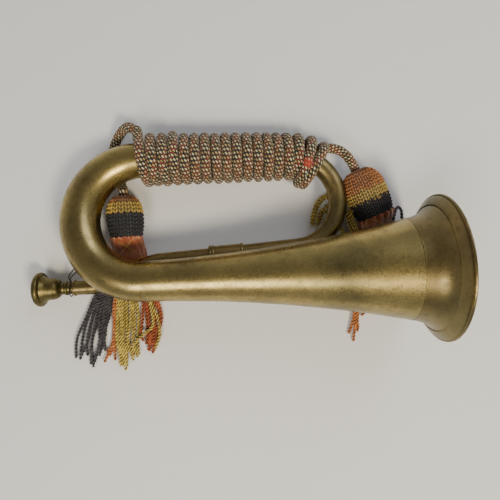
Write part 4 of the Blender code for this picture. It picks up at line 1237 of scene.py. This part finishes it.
# the two free cords, each from the winding to its tassel
leftRoute += [knobPoint(left, depth) for depth in (-0.0025, 0.0040, 0.0110)]
rightRoute = [
    (-0.0765, 0.1045, 0.0250),
    (-0.0700, 0.1042, 0.0246),
    (-0.0628, 0.1020, 0.0238),
    (-0.0568, 0.0975, 0.0222),
    (-0.0524, 0.0925, 0.0200),
    knobPoint(rightKnob, -0.0028),
    knobPoint(rightKnob, 0.0045),
    knobPoint(rightKnob, 0.0170),
]


def leadCord(name, route, count, node):
    line = smoothRoute([Vector(p) + home for p in route], count)
    fine = smoothRoute(line, count * 8)
    piece = ropes(name, [(fine, lay["cord"], 24, cordSwell)], cordYarn)
    settle(piece, "bugle", node, slot="cord_yarn")


leftSet = [leftCover, leftSatin]
leftSet += [bpy.data.objects["left_strands_" + colour] for colour in ("black", "yellow", "red", "orange")]
rightSet = [rightCover, rightSatin]
rightSet += [bpy.data.objects["right_strands_" + colour] for colour in ("yellow", "orange", "black")]
leadCord("left_lead_braid", leftRoute, 30, "left_lead")
leadCord("right_lead_braid", rightRoute, 20, "right_lead")

# floor and light
deselect()
bpy.ops.mesh.primitive_plane_add(size=6.0, location=(0.0, 0.0, -0.0002))
floor = bpy.context.active_object
floor.name = "floor"
floor.data.materials.append(paper("paper_floor"))

world = bpy.data.worlds.new("studio")
bpy.context.scene.world = world
world.use_nodes = True
sky = world.node_tree
height = addNode(sky, "SeparateXYZ", None, Vector=addNode(sky, "TexCoord").outputs["Generated"]).outputs[2]
walls = ramp(sky, height, [(0.0, "#c8c8c8"), (0.30, "#b8b8b6"), (0.62, "#93918c"), (0.90, "#8b8984")])
sky.links.new(walls, sky.nodes["Background"].inputs["Color"])
sky.nodes["Background"].inputs["Strength"].default_value = 0.86

lights = [
    {"name": "window", "place": (-0.40, -0.66, 1.10), "size": 0.55, "watts": 7.0, "colour": "#fff8ea"},
    {"name": "lamp", "place": (0.44, -0.60, 1.15), "size": 0.34, "watts": 13.0, "colour": "#fff1d2"},
    {"name": "bounce", "place": (0.75, 0.95, 0.95), "size": 1.0, "watts": 8.0, "colour": "#e9eef8"},
]
for lamp in lights:
    light = bpy.data.lights.new(lamp["name"], "AREA")
    light.energy = lamp["watts"]
    light.shape = "DISK"
    light.size = lamp["size"]
    light.color = shade(lamp["colour"])[:3]
    holder = bpy.data.objects.new(lamp["name"], light)
    holder.location = lamp["place"]
    holder.rotation_euler = (Vector((0, 0, 0.02)) - Vector(lamp["place"])).to_track_quat("-Z", "Y").to_euler()
    bpy.context.scene.collection.objects.link(holder)
